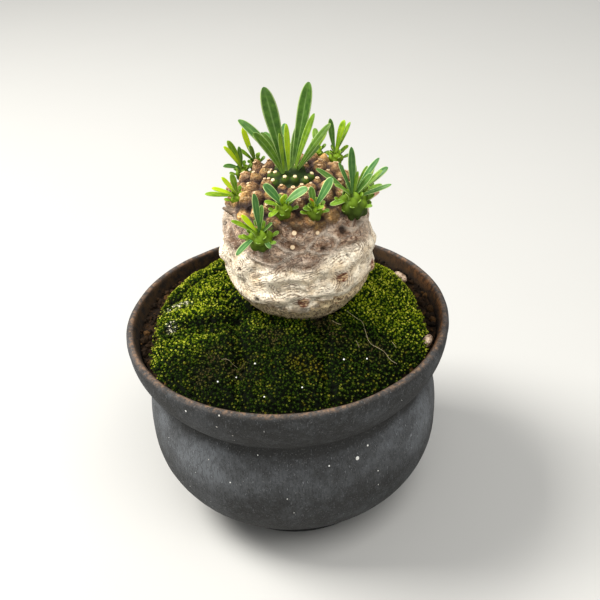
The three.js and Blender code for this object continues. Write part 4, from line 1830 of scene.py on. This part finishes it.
    def skin(
        self, along: np.ndarray, turn: np.ndarray, radius: np.ndarray, z: np.ndarray, flat: np.ndarray
    ) -> dict[str, np.ndarray]:
        """Relief and tones of the bark, with painted shade between the top tubercles.

        Args:
            along: Distance of each point from the top.
            turn: Turn of each point.
            radius: Smooth radius at each point.
            z: Smooth height at each point.
            flat: Smooth place of each point.

        Returns:
            The lift and the painted rows.
        """
        knobs = self.rough_knobs()
        bent_along = along + 0.55 * wander(flat, 2.1, 33) + 0.25 * wander(flat, 0.9, 35)
        bent_turn = turn + 0.6 * wander(flat, 2.1, 37) / np.maximum(radius, 4)
        lift, share, owner = knob_field(knobs, bent_along, bent_turn, radius, 1.45)
        knob_tone = np.random.default_rng(self.tone_seed).random(len(knobs))[owner]
        nubs = [Knob(far, math.radians(angle), 1.5, height) for far, angle, height in self.nubs]
        nub = knob_field(nubs, along, turn, radius, 1.2)[0]
        away = [np.linalg.norm(flat - shoot.seat_point(), axis=1) - shoot.radius for shoot in SHOOTS]
        calm = smooth((np.min(away, axis=0) - 0.3) / 2.2)
        low = 1 - smooth((z - 88) / 12)
        folds = 0.35 * np.sin(0.85 * z + 1.6 * np.sin(2 * turn + 0.5))
        lobes = 0.4 * np.cos(3 * turn + 0.08 * z) + 0.3 * np.cos(5 * turn - 0.1 * z)
        fade = smooth((along - 10) / 10) * (1 - smooth((along - 44) / 6))
        swell = (low * folds + lobes) * fade
        side = smooth((along - 17) / 5) * (1 - smooth((along - 46) / 4))
        near = np.min([self.path_distance(path, turn, z) for path in self.ridges], axis=0)
        near += 0.3 * wander(flat, 2.4, 14)
        crest = np.exp(-((near / 0.42) ** 2))
        ridge = (0.65 * crest - 0.7 * np.exp(-((near / 1.7) ** 2)) + 0.5 * smooth(near / 5)) * side
        pit = self.spot_share(self.pits, turn, z) * side
        patch = self.spot_share(self.root_scars, turn, z) * side
        rough = 0.36 * wander(flat, 4, 2) + 0.3 * wander(flat, 1.7, 6)
        rough += (0.34 * wander(flat, 1.1, 16) + 0.3 * wander(flat, 2.2, 26)) * smooth((z - 102) / 4)
        stain = self.spot_share(self.stains, turn, z) * side
        body = smooth((along - 9) / 3) * (1 - smooth((along - 52) / 6))
        edge_turns, edge_heights, fringe_heights = np.array(self.edges).T
        boundary = np.interp(np.degrees(turn), edge_turns, edge_heights) + 1.2 * wander(flat, 4, 17)
        front = close_to(np.degrees(turn), -95, 60, 1.75)
        grey = smooth((z - boundary) / 3.2 + 0.45) * mix(0.4, 1, front)
        reach = z - 103.4 + 1.7 * wander(flat, 4, 19) + 1.3 * wander(flat, 1.3, 23) + 1.6 * (share - 0.4)
        shoulder = smooth(reach / 2.2)
        # Painted shade in the gaps between the top tubercles.
        hollow_shade = (1 - smooth(share / 0.42)) * smooth((z - 103) / 3)
        band = np.exp(-(((z - boundary - 0.6) / 1.5) ** 2)) * front * side
        ragged = 1.2 * wander(flat, 4, 27) + 0.9 * wander(flat * [1, 1, 0.3], 1.0, 29)
        fringe = smooth((np.interp(np.degrees(turn), edge_turns, fringe_heights) + ragged - z) / 4 + 0.5)
        sunken = 1 - 1.5 * grey * (1 - shoulder) * side
        shoulder = shoulder * (1 - np.clip(nub / 1.5, 0, 1))
        dent = self.spot_share(self.dents, turn, z)
        lift = np.maximum(lift * sunken * mix(0.35, 1, calm), nub)
        lift = lift + swell + ridge - 0.7 * pit + 0.35 * patch + rough * body
        lift -= (0.5 * fringe + 0.6 * stain * (1 - shoulder) + 1.8 * dent) * body
        return {
            "lift": lift,
            "skin": columns(share, grey, fringe),
            "mark": columns(crest * side * (0.35 + 0.65 * grey), patch, pit),
            "shade": columns(shoulder, hollow_shade, mix(z, near, side)),
            "tinge": columns(stain, band, knob_tone),
        }

    def normals(self, outline: np.ndarray) -> np.ndarray:
        """Outward direction of each ring, as radius and height.

        Args:
            outline: Radius and height of each ring.

        Returns:
            One unit row for each ring.
        """
        ahead = np.gradient(outline, axis=0)
        out = columns(ahead[:, 1], -ahead[:, 0])
        return out / np.linalg.norm(out, axis=1, keepdims=True)

    def build(self) -> None:
        """Makes the stem and the scars on its tubercles."""
        outline = self.outline()
        rings = len(outline) - 1
        mesh = ball(self.segments, rings, "caudex_bark")
        polar, turn = ball_angles(points_of(mesh))
        ring = np.rint((1 - polar / math.pi) * rings).astype(int)
        gaps = np.hypot(*np.diff(outline, axis=0).T)
        arc = np.concatenate([np.cumsum(gaps[::-1])[::-1], [0]])
        out = self.normals(outline)[ring]
        radius, z = outline[ring].T
        centre = np.array([*PLAN.caudex, 0])
        relief = self.skin(arc[ring], turn, radius, z, round_places(radius, turn, z) + centre)
        lift = np.where(radius > 0.01, relief.pop("lift"), 0)
        far = radius + lift * out[:, 0]
        move_points(mesh, round_places(far, turn, z + lift * out[:, 1]) + centre)
        bark = Assembly("caudex_bark")
        bark.add(mesh, **relief)
        self.add_roots(bark)
        settle(bark.piece(self.finish.build()), Slot.BARK, "caudex")
        self.build_scars(outline, arc)

    def add_roots(self, bark: Assembly) -> None:
        """Adds the roots inside the soil.

        Args:
            bark: The piece that they belong to.
        """
        none = np.zeros(3)
        for i in range(self.roots):
            turn = 0.5 + i * 1.257
            reach = 19 + 3 * math.sin(2.3 * i)
            bm = bmesh.new()
            bmesh.ops.create_cone(bm, cap_ends=True, segments=10, radius1=2.1, radius2=0.9, depth=1)
            sides = [e for e in bm.edges if abs(e.verts[0].co.z - e.verts[1].co.z) > 0.5]
            bmesh.ops.subdivide_edges(bm, edges=sides, cuts=7)
            for vert in bm.verts:
                run = (vert.co.z + 0.5) * reach
                out = 5 + run
                z = 57 - 20 * (run / reach) ** 2 + vert.co.x
                x = PLAN.caudex[0] + out * math.cos(turn) + vert.co.y * math.sin(turn)
                y = PLAN.caudex[1] + out * math.sin(turn) - vert.co.y * math.cos(turn)
                vert.co = (x, y, z)
            bmesh.ops.recalc_face_normals(bm, faces=bm.faces)
            fibrous = np.array([0.0, 0, 1])
            bark.add(to_mesh(bm, "root"), skin=fibrous, mark=none, shade=none, tinge=none)

    def skin_point(
        self, outline: np.ndarray, arc: np.ndarray, along: float, turn: float
    ) -> tuple[Vector, Vector]:
        """A place on the finished bark.

        Args:
            outline: Radius and height of each ring.
            arc: Distance of each ring from the top.
            along: Distance from the top.
            turn: The turn.

        Returns:
            The place and the outward direction.
        """
        radius = float(np.interp(-along, -arc, outline[:, 0]))
        z = float(np.interp(-along, -arc, outline[:, 1]))
        normal = self.normals(outline)
        out = np.array([np.interp(-along, -arc, normal[:, i]) for i in range(2)])
        flat = (np.array([*PLAN.caudex, z]) + radius * outward(turn))[None]
        args = [np.array([v]) for v in (along, turn, radius, z)]
        lift = float(self.skin(*args, flat)["lift"][0])
        direction = Vector((out[0] * math.cos(turn), out[0] * math.sin(turn), out[1])).normalized()
        return Vector(flat[0]) + direction * lift, direction

    def build_scars(self, outline: np.ndarray, arc: np.ndarray) -> None:
        """Puts a corky scar on each tubercle's top.

        Args:
            outline: Radius and height of each ring.
            arc: Distance of each ring from the top.
        """
        rng = np.random.default_rng(self.scar_seed)
        scars = Assembly("bark_scars")
        marks = [
            (knob.along, knob.turn, rng.uniform(0.42, 0.68), rng.uniform(0.75, 1))
            for knob in self.rough_knobs()
            if knob.along < 19 or (knob.along < 29 and rng.random() < 0.18)
        ]
        for angle, height, size in self.corky:
            along = float(np.interp(-height, -outline[:, 1][::-1], arc[::-1]))
            marks.append((along, math.radians(angle), size * 0.85, 0.0))
        seats = [shoot.seat_point() for shoot in SHOOTS]
        for along, turn, size, old in marks:
            spot, direction = self.skin_point(outline, arc, along, turn)
            if min((spot - Vector(seat)).length for seat in seats) >= self.scar_clearance:
                corky_button(scars, spot, direction, size, old)
        settle(scars.piece(ScarFinish().build()), Slot.BARK)


def corky_button(
    scars: Assembly,
    spot: Vector,
    direction: Vector,
    size: float,
    old: float,
    white: float = 0,
    sides: int = 12,
) -> None:
    """Adds a small raised scar with a dimple.

    Args:
        scars: The piece that it belongs to.
        spot: Where it sits.
        direction: Where it faces.
        size: Its radius.
        old: How weathered it is.
        white: How pale it is; a pale one has a fainter ring.
        sides: How round it is.
    """
    mesh = ball(sides, 8, "scar")
    unit = points_of(mesh)
    out = np.hypot(unit[:, 0], unit[:, 1])
    dimple = 0.32 * np.exp(-((out / 0.42) ** 2))
    unit[:, 2] = np.where(unit[:, 2] > 0, unit[:, 2] * 0.55 - dimple, unit[:, 2] * 0.9)
    turned = direction.to_track_quat("Z", "Y").to_matrix()
    move_points(mesh, unit * size @ np.array(turned.transposed()) + np.array(spot))
    scars.add(mesh, scar=columns(out * (0.5 if white else 1), old, white))


@dataclass(frozen=True)
class Leaf:
    """A leaf: turn and lean in degrees, length, width, bend in degrees, and its youth, bloom and blush."""

    turn: float
    lean: float
    length: float
    width: float
    bend: float
    youth: float = 0
    bloom: float = 0
    blush: float = 0


@dataclass
class LeafMaker:
    """Turns the sizes of leaves into spoon-shaped blades that face the light."""

    thickness: float = 0.62
    channel: float = 0.25
    light: Triple = (0, -0.68, 0.73)
    light_pull: float = 2.4
    segments: int = 16
    rings: int = 26

    def spoon(self, share: np.ndarray) -> np.ndarray:
        """Width of the blade as a share of its greatest, from foot to tip.

        Args:
            share: How far along the blade, 0 at its foot to 1 at its tip.

        Returns:
            A width for each share.
        """
        swell = 0.3 + 0.7 * smooth(share / 0.72)
        tip = np.clip((share - 0.7) / 0.3, 0, 1)
        return swell * np.sqrt(np.clip(1 - tip**2.4, 0, 1))

    def blade(self, head: Assembly, foot: np.ndarray, leaf: Leaf) -> None:
        """Adds one leaf.

        Args:
            head: The piece that it belongs to.
            foot: Where it grows from.
            leaf: Its sizes.
        """
        mesh = ball(self.segments, self.rings, "leaf")
        unit = points_of(mesh)
        polar = ball_angles(unit)[0]
        ring = np.maximum(np.sin(polar), 1e-6)
        share = 1 - (1 - polar / math.pi) ** 1.7
        bend = math.radians(leaf.bend)
        start = math.radians(leaf.lean) - bend / 2
        out, up = outward(math.radians(leaf.turn)), np.array([0, 0, 1.0])

        def along(angle: np.ndarray) -> np.ndarray:
            """Direction at a lean."""
            return np.sin(angle)[:, None] * out + np.cos(angle)[:, None] * up

        half = bend * share / 2
        chord = leaf.length * share * np.sinc(half / math.pi)
        heading = along(start + bend * share)
        face = along(start + bend * share - math.pi / 2) + self.light_pull * np.array(self.light)
        face -= np.sum(face * heading, axis=1, keepdims=True) * heading
        face /= np.linalg.norm(face, axis=1, keepdims=True)
        side = np.cross(face, heading)
        open_ = ((share > 0) & (share < 1)).astype(float)
        across = open_ * unit[:, 0] / ring
        upper = -open_ * unit[:, 1] / ring
        waver = 1 + 0.03 * np.sin(9 * share + leaf.turn)
        reach = across * leaf.width * self.spoon(share) * waver / 2
        thickness = self.thickness * min(1, 0.35 + 0.3 * leaf.width)
        body = np.minimum(1, ring * 1.6) * thickness / 2 * mix(1.35, 1, smooth(share / 0.35))
        groove = np.where(upper > 0, -0.1, 0.12) * np.exp(-((across / 0.16) ** 2)) * open_
        lift = upper * body * (1 - 0.35 * across**2) + self.channel * np.abs(reach)
        lift += groove * smooth(share / 0.2)
        points = foot + along(start + half) * chord[:, None] + side * reach[:, None] + face * lift[:, None]
        coat = np.array([leaf.bloom, leaf.blush, 0])
        head.add(move_points(mesh, points), blade=columns(across, share, leaf.youth), coat=coat)


def arc_from_top(polar: np.ndarray, scale: np.ndarray, samples: int) -> np.ndarray:
    """Distance along an ellipsoid from its top.

    Args:
        polar: Angle of each point from the upper pole, before scaling.
        scale: Half sizes of the ellipsoid.
        samples: How finely the distance is summed.

    Returns:
        One distance for each point.
    """
    steps = np.linspace(0, math.pi, samples)
    pace = np.hypot(scale[0] * np.cos(steps), scale[2] * np.sin(steps)) * (steps[1] - steps[0])
    return np.interp(polar, steps, np.cumsum(pace))


def ellipsoid_normals(unit: np.ndarray, scale: np.ndarray) -> np.ndarray:
    """Outward directions of an ellipsoid at the points of its unit sphere."""
    normal = unit / scale
    return normal / np.linalg.norm(normal, axis=1, keepdims=True)


@dataclass(frozen=True)
class Shoot:
    """A side shoot: its seat as turn, distance out and height; its body's half sizes; youth; leaves."""

    name: str
    seat: Triple
    radius: float
    half: float
    youth: float
    leaves: tuple[Leaf, ...]
    segments: int = 36
    rings: int = 26
    core: float = 0.78
    stretch: float = 0.62

    def seat_point(self) -> np.ndarray:
        """The middle of the body."""
        turn, reach, height = self.seat
        return np.array([*PLAN.caudex, height]) + reach * outward(math.radians(turn))

    def body(self, head: Assembly) -> None:
        """Adds the knobbly green body.

        Args:
            head: The piece that it belongs to.
        """
        mesh = ball(self.segments, self.rings, "body")
        unit = points_of(mesh)
        polar, turn = ball_angles(unit)
        scale = np.array([self.radius, self.radius, self.half])
        along = self.stretch * arc_from_top(polar, scale, 200)
        cell = 1.7 * self.radius
        knobs = spiral(0.8, 2.6 * self.half, lambda _: self.radius, lambda _: cell, lambda _: 1.0)
        wide = self.stretch * np.full(len(turn), self.radius)
        lift, share, _ = knob_field(knobs, along, turn, wide, 1.7)
        swell = ellipsoid_normals(unit, scale) * (lift * 0.42 * self.radius - 0.1)[:, None]
        points = self.seat_point() + unit * scale * self.core + swell
        # Painted light and shade: lighter on the top and on the tubercles, darker low down and between them.
        top = smooth((unit[:, 2] + 0.6) / 1.4)
        blade = columns(1, 0.15 + 0.75 * share * top, self.youth)
        head.add(move_points(mesh, points), blade=blade, coat=FLESH_COAT)

    def buds(self) -> list[tuple[np.ndarray, Leaf]]:
        """Short young leaves round the upper half of the body.

        Returns:
            Where each grows, and its sizes.
        """
        made = []
        count = int(6 + 3.2 * self.radius)
        for i in range(count):
            rise = 0.85 - 1.15 * i / count
            turn = 0.9 + i * GOLDEN_ANGLE
            out = math.sqrt(1 - rise**2) * self.radius * 0.8
            place = self.seat_point() + out * outward(turn) + [0, 0, rise * self.half * 0.8]
            lean = 12 + 50 * (1 - rise)
            length = (1.6 + 0.32 * self.radius) * (1 + 0.4 * math.sin(5.1 * i))
            youth = 0.25 + 0.35 * (1 + math.sin(3.7 * i)) / 2
            made.append((place, Leaf(math.degrees(turn), lean, length, 0.95 + 0.12 * self.radius, 14, youth)))
        return made


SHOOTS = (
    Shoot("shoot_upper_left", (144, 18.6, 107.9), 2, 2.4, 0.5, (
        Leaf(180, 20, 10.5, 2.4, 12, 0.6), Leaf(206, 30, 10.5, 2, 16, 0.95),
        Leaf(110, 8, 7.5, 1.5, 0, 0.1, 0.3), Leaf(210, 63, 7, 1.8, 40, 0.0, 0.4),
    )),
    Shoot("shoot_back_left", (129, 17.4, 109), 1.8, 2.2, 0.5, (
        Leaf(162, 16, 11.5, 2, -8, 1), Leaf(222, 20, 6.5, 2.8, 10, 0.25),
        Leaf(176, 44, 6.5, 1.4, 8, 0.6), Leaf(60, 50, 3.5, 1.2, 0, 0.5),
    )),
    Shoot("shoot_left", (195, 17, 107.2), 2.1, 2.4, 0.8, (
        Leaf(140, 14, 7, 1.9, 6, 0.35), Leaf(196, 31, 8, 1.7, 4, 1), Leaf(206, 58, 9, 1.7, 10, 0.95),
        Leaf(190, 76, 9.5, 1.7, 6, 0.8), Leaf(246, 37, 5.5, 1.3, 0, 0.9),
    )),
    Shoot("shoot_front_left", (239, 21, 101.5), 3.5, 3.1, 0.35, (
        Leaf(241, 6, 13.5, 2.4, -4, 0, 0.9), Leaf(28, 10, 9, 1.8, 10, 0.1, 0.5),
        Leaf(-39, 44, 7, 1.7, 8, 0.1, 0.6), Leaf(209, 49, 11, 1.7, 10, 0.75),
        Leaf(203, 33, 9, 2.1, 0, 0.95), Leaf(223, 104, 9.5, 1.8, 30, 0, 0.9),
        Leaf(-58, 112, 5.5, 1.5, 30, 0.1, 0.9),
    )),
    Shoot("shoot_front", (256, 16.2, 108.7), 2.3, 2.8, 0.55, (
        Leaf(180, 35, 8.5, 3.1, 14, 0, 1), Leaf(-8, 53, 9, 2.9, 20, 0.05, 1),
        Leaf(-81, 27, 5, 2.4, 0, 0.9), Leaf(202, 62, 6, 1.6, 10, 0.6),
        Leaf(222, 100, 5.5, 1.6, 10, 0.8),
    )),
    Shoot("shoot_front_right", (285, 17.4, 107.9), 2.1, 2.6, 0.45, (
        Leaf(0, 31, 10.5, 2.9, -6, 0, 1), Leaf(121, 10, 6.5, 1.9, 8, 0.15, 0.5),
        Leaf(-104, 33, 5.6, 1.6, 0, 0.9, 0, 1), Leaf(225, 68, 4.6, 1.5, 0, 0.4),
        Leaf(-52, 64, 4.6, 1.5, 0, 0.5),
    )),
    Shoot("shoot_right", (326, 19, 106.3), 4.2, 4, 0.15, (
        Leaf(191, 43, 15, 2, 16, 0.1, 0.6), Leaf(218, 45, 9.5, 1.7, 30, 0.3, 0.6),
        Leaf(217, 82, 8.5, 1.8, 10, 0.35, 0.5), Leaf(90, 2, 15.5, 2.1, 6, 0, 0.6),
        Leaf(-20, 35, 10, 2.4, 8, 0.1, 0.5), Leaf(-16, 65, 12, 1.6, 0, 0.05, 0.6),
        Leaf(21, 39, 13.5, 1.8, 16, 0, 0.8), Leaf(7, 48, 11.5, 1.4, 0, 0.4, 0.3),
        Leaf(33, 33, 10, 1.4, 0, 0.3), Leaf(76, 18, 10.5, 1.9, 0, 0, 0.6),
        Leaf(163, 19, 11.5, 1.4, 10, 0, 0.6), Leaf(-30, 12, 9, 1.5, 0, 0.3),
    )),
    Shoot("shoot_back_right", (47, 19.2, 109.2), 2.2, 2.4, 0.7, (
        Leaf(134, 8, 11.5, 2, -10, 0.05, 0.3), Leaf(0, 16, 11.5, 2.4, 4, 0.85),
        Leaf(16, 28, 11, 1.5, 6, 0.6), Leaf(-128, 26, 4, 1.4, 0, 0.5), Leaf(0, 55, 5, 1.4, 0, 0.5),
    )),
    Shoot("shoot_back", (65, 18.2, 110.2), 1.8, 2.2, 0.7, (
        Leaf(0, 26, 7.5, 2.5, 10, 0.75), Leaf(180, 18, 4, 1.4, 0, 0.6), Leaf(90, 40, 7, 2, 20, 0.3),
    )),
    Shoot("shoot_rear", (98, 18.6, 106.4), 2.3, 2.6, 0.4, (
        Leaf(80, 40, 12, 2.6, 20, 0, 0.8), Leaf(130, 48, 11, 2.4, 20, 0.1, 0.6),
        Leaf(30, 45, 10, 2.2, 14, 0.2, 0.4), Leaf(100, 12, 9, 1.8, 0, 0.8),
    )),
    Shoot("shoot_rear_right", (12, 20.8, 101.5), 2.3, 2.6, 0.4, (
        Leaf(10, 50, 10, 2.4, 16, 0, 0.8), Leaf(60, 56, 9, 2.2, 16, 0.1, 0.6),
        Leaf(-45, 62, 8, 1.9, 10, 0.3, 0.3), Leaf(10, 22, 8, 1.8, 0, 0.8),
    )),
)


@dataclass
class Crown:
    """The green growing point with its tubercles, white leaf scars and rosette."""

    maker: LeafMaker
    leaves: tuple[Leaf, ...] = (
        Leaf(120, 21, 26, 4.5, 4, 0), Leaf(50, 23, 27, 3.9, -4),
        Leaf(163, 36, 21.5, 3, 34, 0.05, 0.5), Leaf(193, 28, 17.5, 3.5, 22, 0.12),
        Leaf(127, 44, 15, 2.4, 20, 0.1), Leaf(84, 7, 15.5, 1.7, 0, 0.9),
        Leaf(170, 3, 14, 1.4, 0, 0.5), Leaf(7, 21, 20, 2.2, 8, 0.35),
        Leaf(9, 38, 19, 2.5, 10, 0.15), Leaf(66, 38, 16, 2.8, 20, 0.1),
        Leaf(98, 50, 14, 2.6, 26, 0, 0.4), Leaf(30, 54, 12, 2.2, 20, 0.1),
    )
    foot_out: float = 1.2
    foot_rise: float = 2.6
    segments: int = 96
    rings: int = 56
    knob_swell: float = 1.5
    knob_gap: float = 2.7
    scar_rise: float = 1.44
    seen_knobs: tuple[Pair, ...] = (
        (-105, 4.1), (-70, 4.4), (180, 5.0), (-160, 3.6), (-137, 5.9), (-10, 6.4), (-42, 6.0),
    )

    def dome(self, head: Assembly) -> None:
        """Adds the growing point.

        Args:
            head: The piece that it belongs to.
        """
        mesh = ball(self.segments, self.rings, "dome")
        unit = points_of(mesh)
        polar, turn = ball_angles(unit)
        scale = np.array([PLAN.crown_radius, PLAN.crown_radius, PLAN.crown_half])
        along = arc_from_top(polar, scale, 400)
        lift, share, _ = knob_field(self.knobs(), along, turn, scale[0] * np.sin(polar), 1.3)
        swell = ellipsoid_normals(unit, scale) * (lift * self.knob_swell)[:, None]
        points = np.array(PLAN.crown) + unit * scale + swell
        # Painted shade between the crown's tubercles, lighter on their tops.
        head.add(move_points(mesh, points), blade=columns(1, 0.05 + 0.62 * share, 0), coat=FLESH_COAT)

    def knobs(self) -> list[Knob]:
        """The small tubercles of the growing point: those that are seen, and others in the gaps.

        Returns:
            The tubercles.
        """
        seen = [Knob(along, math.radians(turn), 1.75, 1.25) for turn, along in self.seen_knobs]

        def gap(knob: Knob) -> float:
            """Distance to the nearest tubercle that is seen."""
            return min(abs(k.along - knob.along * np.exp(1j * (knob.turn - k.turn))) for k in seen)

        others = spiral(
            2.2,
            7.4,
            lambda along: along,
            lambda _: 8,
            lambda along: float(mix(1.4, 0.3, smooth((along - 4) / 4))),
        )
        return seen + [knob for knob in others if gap(knob) > self.knob_gap]

    def build_scars(self) -> None:
        """Puts a white scar on each small tubercle."""
        scars = Assembly("crown_scars")
        scale = Vector((PLAN.crown_radius, PLAN.crown_radius, PLAN.crown_half))
        for knob in self.knobs():
            polar = knob.along / PLAN.crown_radius * 1.02
            unit = Vector(math.sin(polar) * outward(knob.turn) + [0, 0, math.cos(polar)])
            normal = Vector((unit.x / scale.x, unit.y / scale.y, unit.z / scale.z)).normalized()
            spot = Vector(PLAN.crown) + unit * scale + normal * knob.height * self.scar_rise
            corky_button(scars, spot, normal, 0.36 * knob.width, 0, white=0.55, sides=5)
        settle(scars.piece(ScarFinish().build()), Slot.LEAF)

    def build(self, material: Material) -> None:
        """Makes the crown.

        Args:
            material: The leaf finish.
        """
        head = Assembly("crown_rosette")
        self.dome(head)
        for leaf in self.leaves:
            out = self.foot_out * outward(math.radians(leaf.turn))
            self.maker.blade(head, np.array(PLAN.crown) + out + [0, 0, self.foot_rise], leaf)
        settle(head.piece(material), Slot.LEAF, "crown")
        self.build_scars()


@dataclass
class SideShoots:
    """The leafy side shoots and the withered leaf."""

    maker: LeafMaker
    withered_foot: Triple = (24.7, -1.8, 102.8)
    withered: Leaf = Leaf(-32, 44, 6.8, 1.6, 24)

    def build(self, material: Material) -> None:
        """Makes every shoot.

        Args:
            material: The leaf finish.
        """
        for shoot in SHOOTS:
            head = Assembly(shoot.name.replace("shoot", "sprig"))
            shoot.body(head)
            foot = shoot.seat_point() + [0, 0, 0.4 * shoot.half]
            for place, leaf in [*((foot, leaf) for leaf in shoot.leaves), *shoot.buds()]:
                self.maker.blade(head, place, leaf)
            settle(head.piece(material), Slot.SHOOT, shoot.name)
        dry = Assembly("dry_leaf")
        self.maker.blade(dry, np.array(self.withered_foot), self.withered)
        settle(dry.piece(WitheredFinish().build()), Slot.WITHERED, "withered_leaf")


@dataclass
class Litter:
    """Root hairs and white crumbs that lie on the moss."""

    bed: MossBed
    hairs: tuple[tuple[Pair, ...], ...] = (
        (
            (17.8, -11.4), (20.4, -14.1), (21.9, -15.3), (22.2, -20), (22.7, -25.2), (25, -26.8),
            (26.9, -28.6), (27.9, -31.1), (29.8, -31.6),
        ),
        ((19.1, -24.3), (19.5, -25.5), (19.7, -26.9)),
        ((13, -15.2), (14.1, -17), (15.4, -18.2)),
        ((29.4, -24.9), (30.1, -25.7), (30.3, -26.8)),
        ((-19.5, -27.6), (-17.8, -26.9), (-16.4, -27.4), (-15, -27)),
    )
    crumbs: tuple[Pair, ...] = (
        (14.9, -31.7), (21.5, -30.4), (2.6, -40.3), (-15.6, -31.8), (-10, -31), (-20.6, -34.9),
        (-7.9, -41.9),
    )
    hair_radius: float = 0.048
    hair_rise: float = 0.35
    crumb_radius: float = 0.27
    crumb_rise: float = 0.15

    def build(self) -> None:
        """Lays the hairs and the crumbs down."""
        hairs = Assembly("root_hairs")
        for path in self.hairs:
            hairs.add(self.hair(path))
        settle(hairs.piece(DryFibreFinish("root_hair", "a79b78", "6a6046").build()), Slot.MOSS)
        crumbs = Assembly("white_crumbs")
        for i, (x, y) in enumerate(self.crumbs):
            z = float(self.bed.height(np.array([x]), np.array([y]))[0][0]) + self.crumb_rise
            radius = self.crumb_radius - 0.02 * (i % 4)
            crumbs.add(crystal(2, "crumb", radius, Matrix.Translation((x, y, z))))
        settle(crumbs.piece(DryFibreFinish("white_crumb", "e6e6e0", "c9c8c0").build()), Slot.STONE)

    def hair(self, path: Sequence[Pair]) -> Mesh:
        """A thin fibre over the tufts.

        Args:
            path: Places that it passes.

        Returns:
            The mesh.
        """
        x, y = np.array(path).T
        z = self.bed.height(x, y)[0] + self.hair_rise
        curve = bpy.data.curves.new("hair", "CURVE")
        curve.dimensions = "3D"
        curve.bevel_depth = self.hair_radius
        curve.bevel_resolution = 1
        curve.resolution_u = 6
        curve.use_fill_caps = True
        line = curve.splines.new("NURBS")
        line.points.add(len(path) - 1)
        for point, place in zip(line.points, zip(x, y, z)):
            point.co = (*place, 1)
        line.use_endpoint_u = True
        line.order_u = 3
        holder = bpy.data.objects.new("hair", curve)
        bpy.context.scene.collection.objects.link(holder)
        mesh = bpy.data.meshes.new_from_object(holder)
        bpy.data.objects.remove(holder)
        bpy.data.curves.remove(curve)
        return mesh


@dataclass(frozen=True)
class Lamp:
    """A square soft light: its place and width in metres, its power in watts and its colour."""

    name: str
    spot: Triple
    width: float
    power: float
    color: Triple


@dataclass
class Studio:
    """Floor, soft lights and the camera, in metres."""

    eye: Triple = (0, -0.2316, 0.2244)
    ahead: Triple = (0.0155, 0.8326, -0.5537)
    right: Triple = (0.9969, -0.0553, -0.0552)
    lens: float = 54
    sensor: float = 36
    clip_start: float = 0.01
    aim: Triple = (0, 0, 0.08)
    lamps: tuple[Lamp, ...] = (
        Lamp("window", (-0.5, 0.12, 0.75), 0.38, 15.0, (1, 0.985, 0.96)),
        Lamp("sky", (0.22, -0.42, 0.9), 0.6, 8.2, (1, 0.99, 0.98)),
    )
    surround: tuple[float, float, float, float] = (0.97, 0.985, 1, 1)
    surround_strength: float = 0.55
    floor_half: float = 4

    def hang(self, lamp: Lamp) -> None:
        """Adds a soft light that faces the plant.

        Args:
            lamp: The light.
        """
        light = bpy.data.lights.new(lamp.name, "AREA")
        light.size = lamp.width
        light.energy = lamp.power
        light.color = lamp.color
        holder = bpy.data.objects.new(lamp.name, light)
        holder.location = lamp.spot
        holder.rotation_euler = (Vector(self.aim) - Vector(lamp.spot)).to_track_quat("-Z", "Y").to_euler()
        bpy.context.scene.collection.objects.link(holder)

    def lay_floor(self) -> None:
        """Lays the plain floor."""
        bm = bmesh.new()
        bmesh.ops.create_grid(bm, x_segments=1, y_segments=1, size=self.floor_half)
        floor = bpy.data.objects.new("floor", to_mesh(bm, "floor"))
        floor.data.materials.append(FloorFinish().build())
        bpy.context.scene.collection.objects.link(floor)

    def surround_light(self) -> None:
        """Sets the even light from all round."""
        world = bpy.data.worlds.new("studio")
        world.use_nodes = True
        background = world.node_tree.nodes["Background"].inputs
        background["Color"].default_value = self.surround
        background["Strength"].default_value = self.surround_strength
        bpy.context.scene.world = world

    def set_camera(self) -> None:
        """Puts the camera where the photograph was taken from."""
        camera = bpy.data.cameras.new("camera")
        camera.lens = self.lens
        camera.sensor_width = self.sensor
        camera.clip_start = self.clip_start
        back = -Vector(self.ahead).normalized()
        right = Vector(self.right)
        right = (right - back * right.dot(back)).normalized()
        turned = Matrix((right, back.cross(right), back)).transposed().to_4x4()
        holder = bpy.data.objects.new("camera", camera)
        holder.matrix_world = Matrix.Translation(self.eye) @ turned
        bpy.context.scene.collection.objects.link(holder)
        bpy.context.scene.camera = holder

    def build(self) -> None:
        """Makes the floor, lights and camera."""
        self.lay_floor()
        for lamp in self.lamps:
            self.hang(lamp)
        self.surround_light()
        bpy.context.scene.view_settings.view_transform = "Standard"
        self.set_camera()


def main() -> None:
    """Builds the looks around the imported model."""
    logging.basicConfig(level=logging.INFO, format="%(message)s")
    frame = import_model()
    Studio().build()
    Pot().build()
    Ground().build(frame["nodes"])
    bed = MossBed()
    bed.build()
    Litter(bed).build()
    Caudex().build()
    maker = LeafMaker()
    leaf = LeafFinish().build()
    Crown(maker).build(leaf)
    SideShoots(maker).build(leaf)


if __name__ == "__main__":
    main()
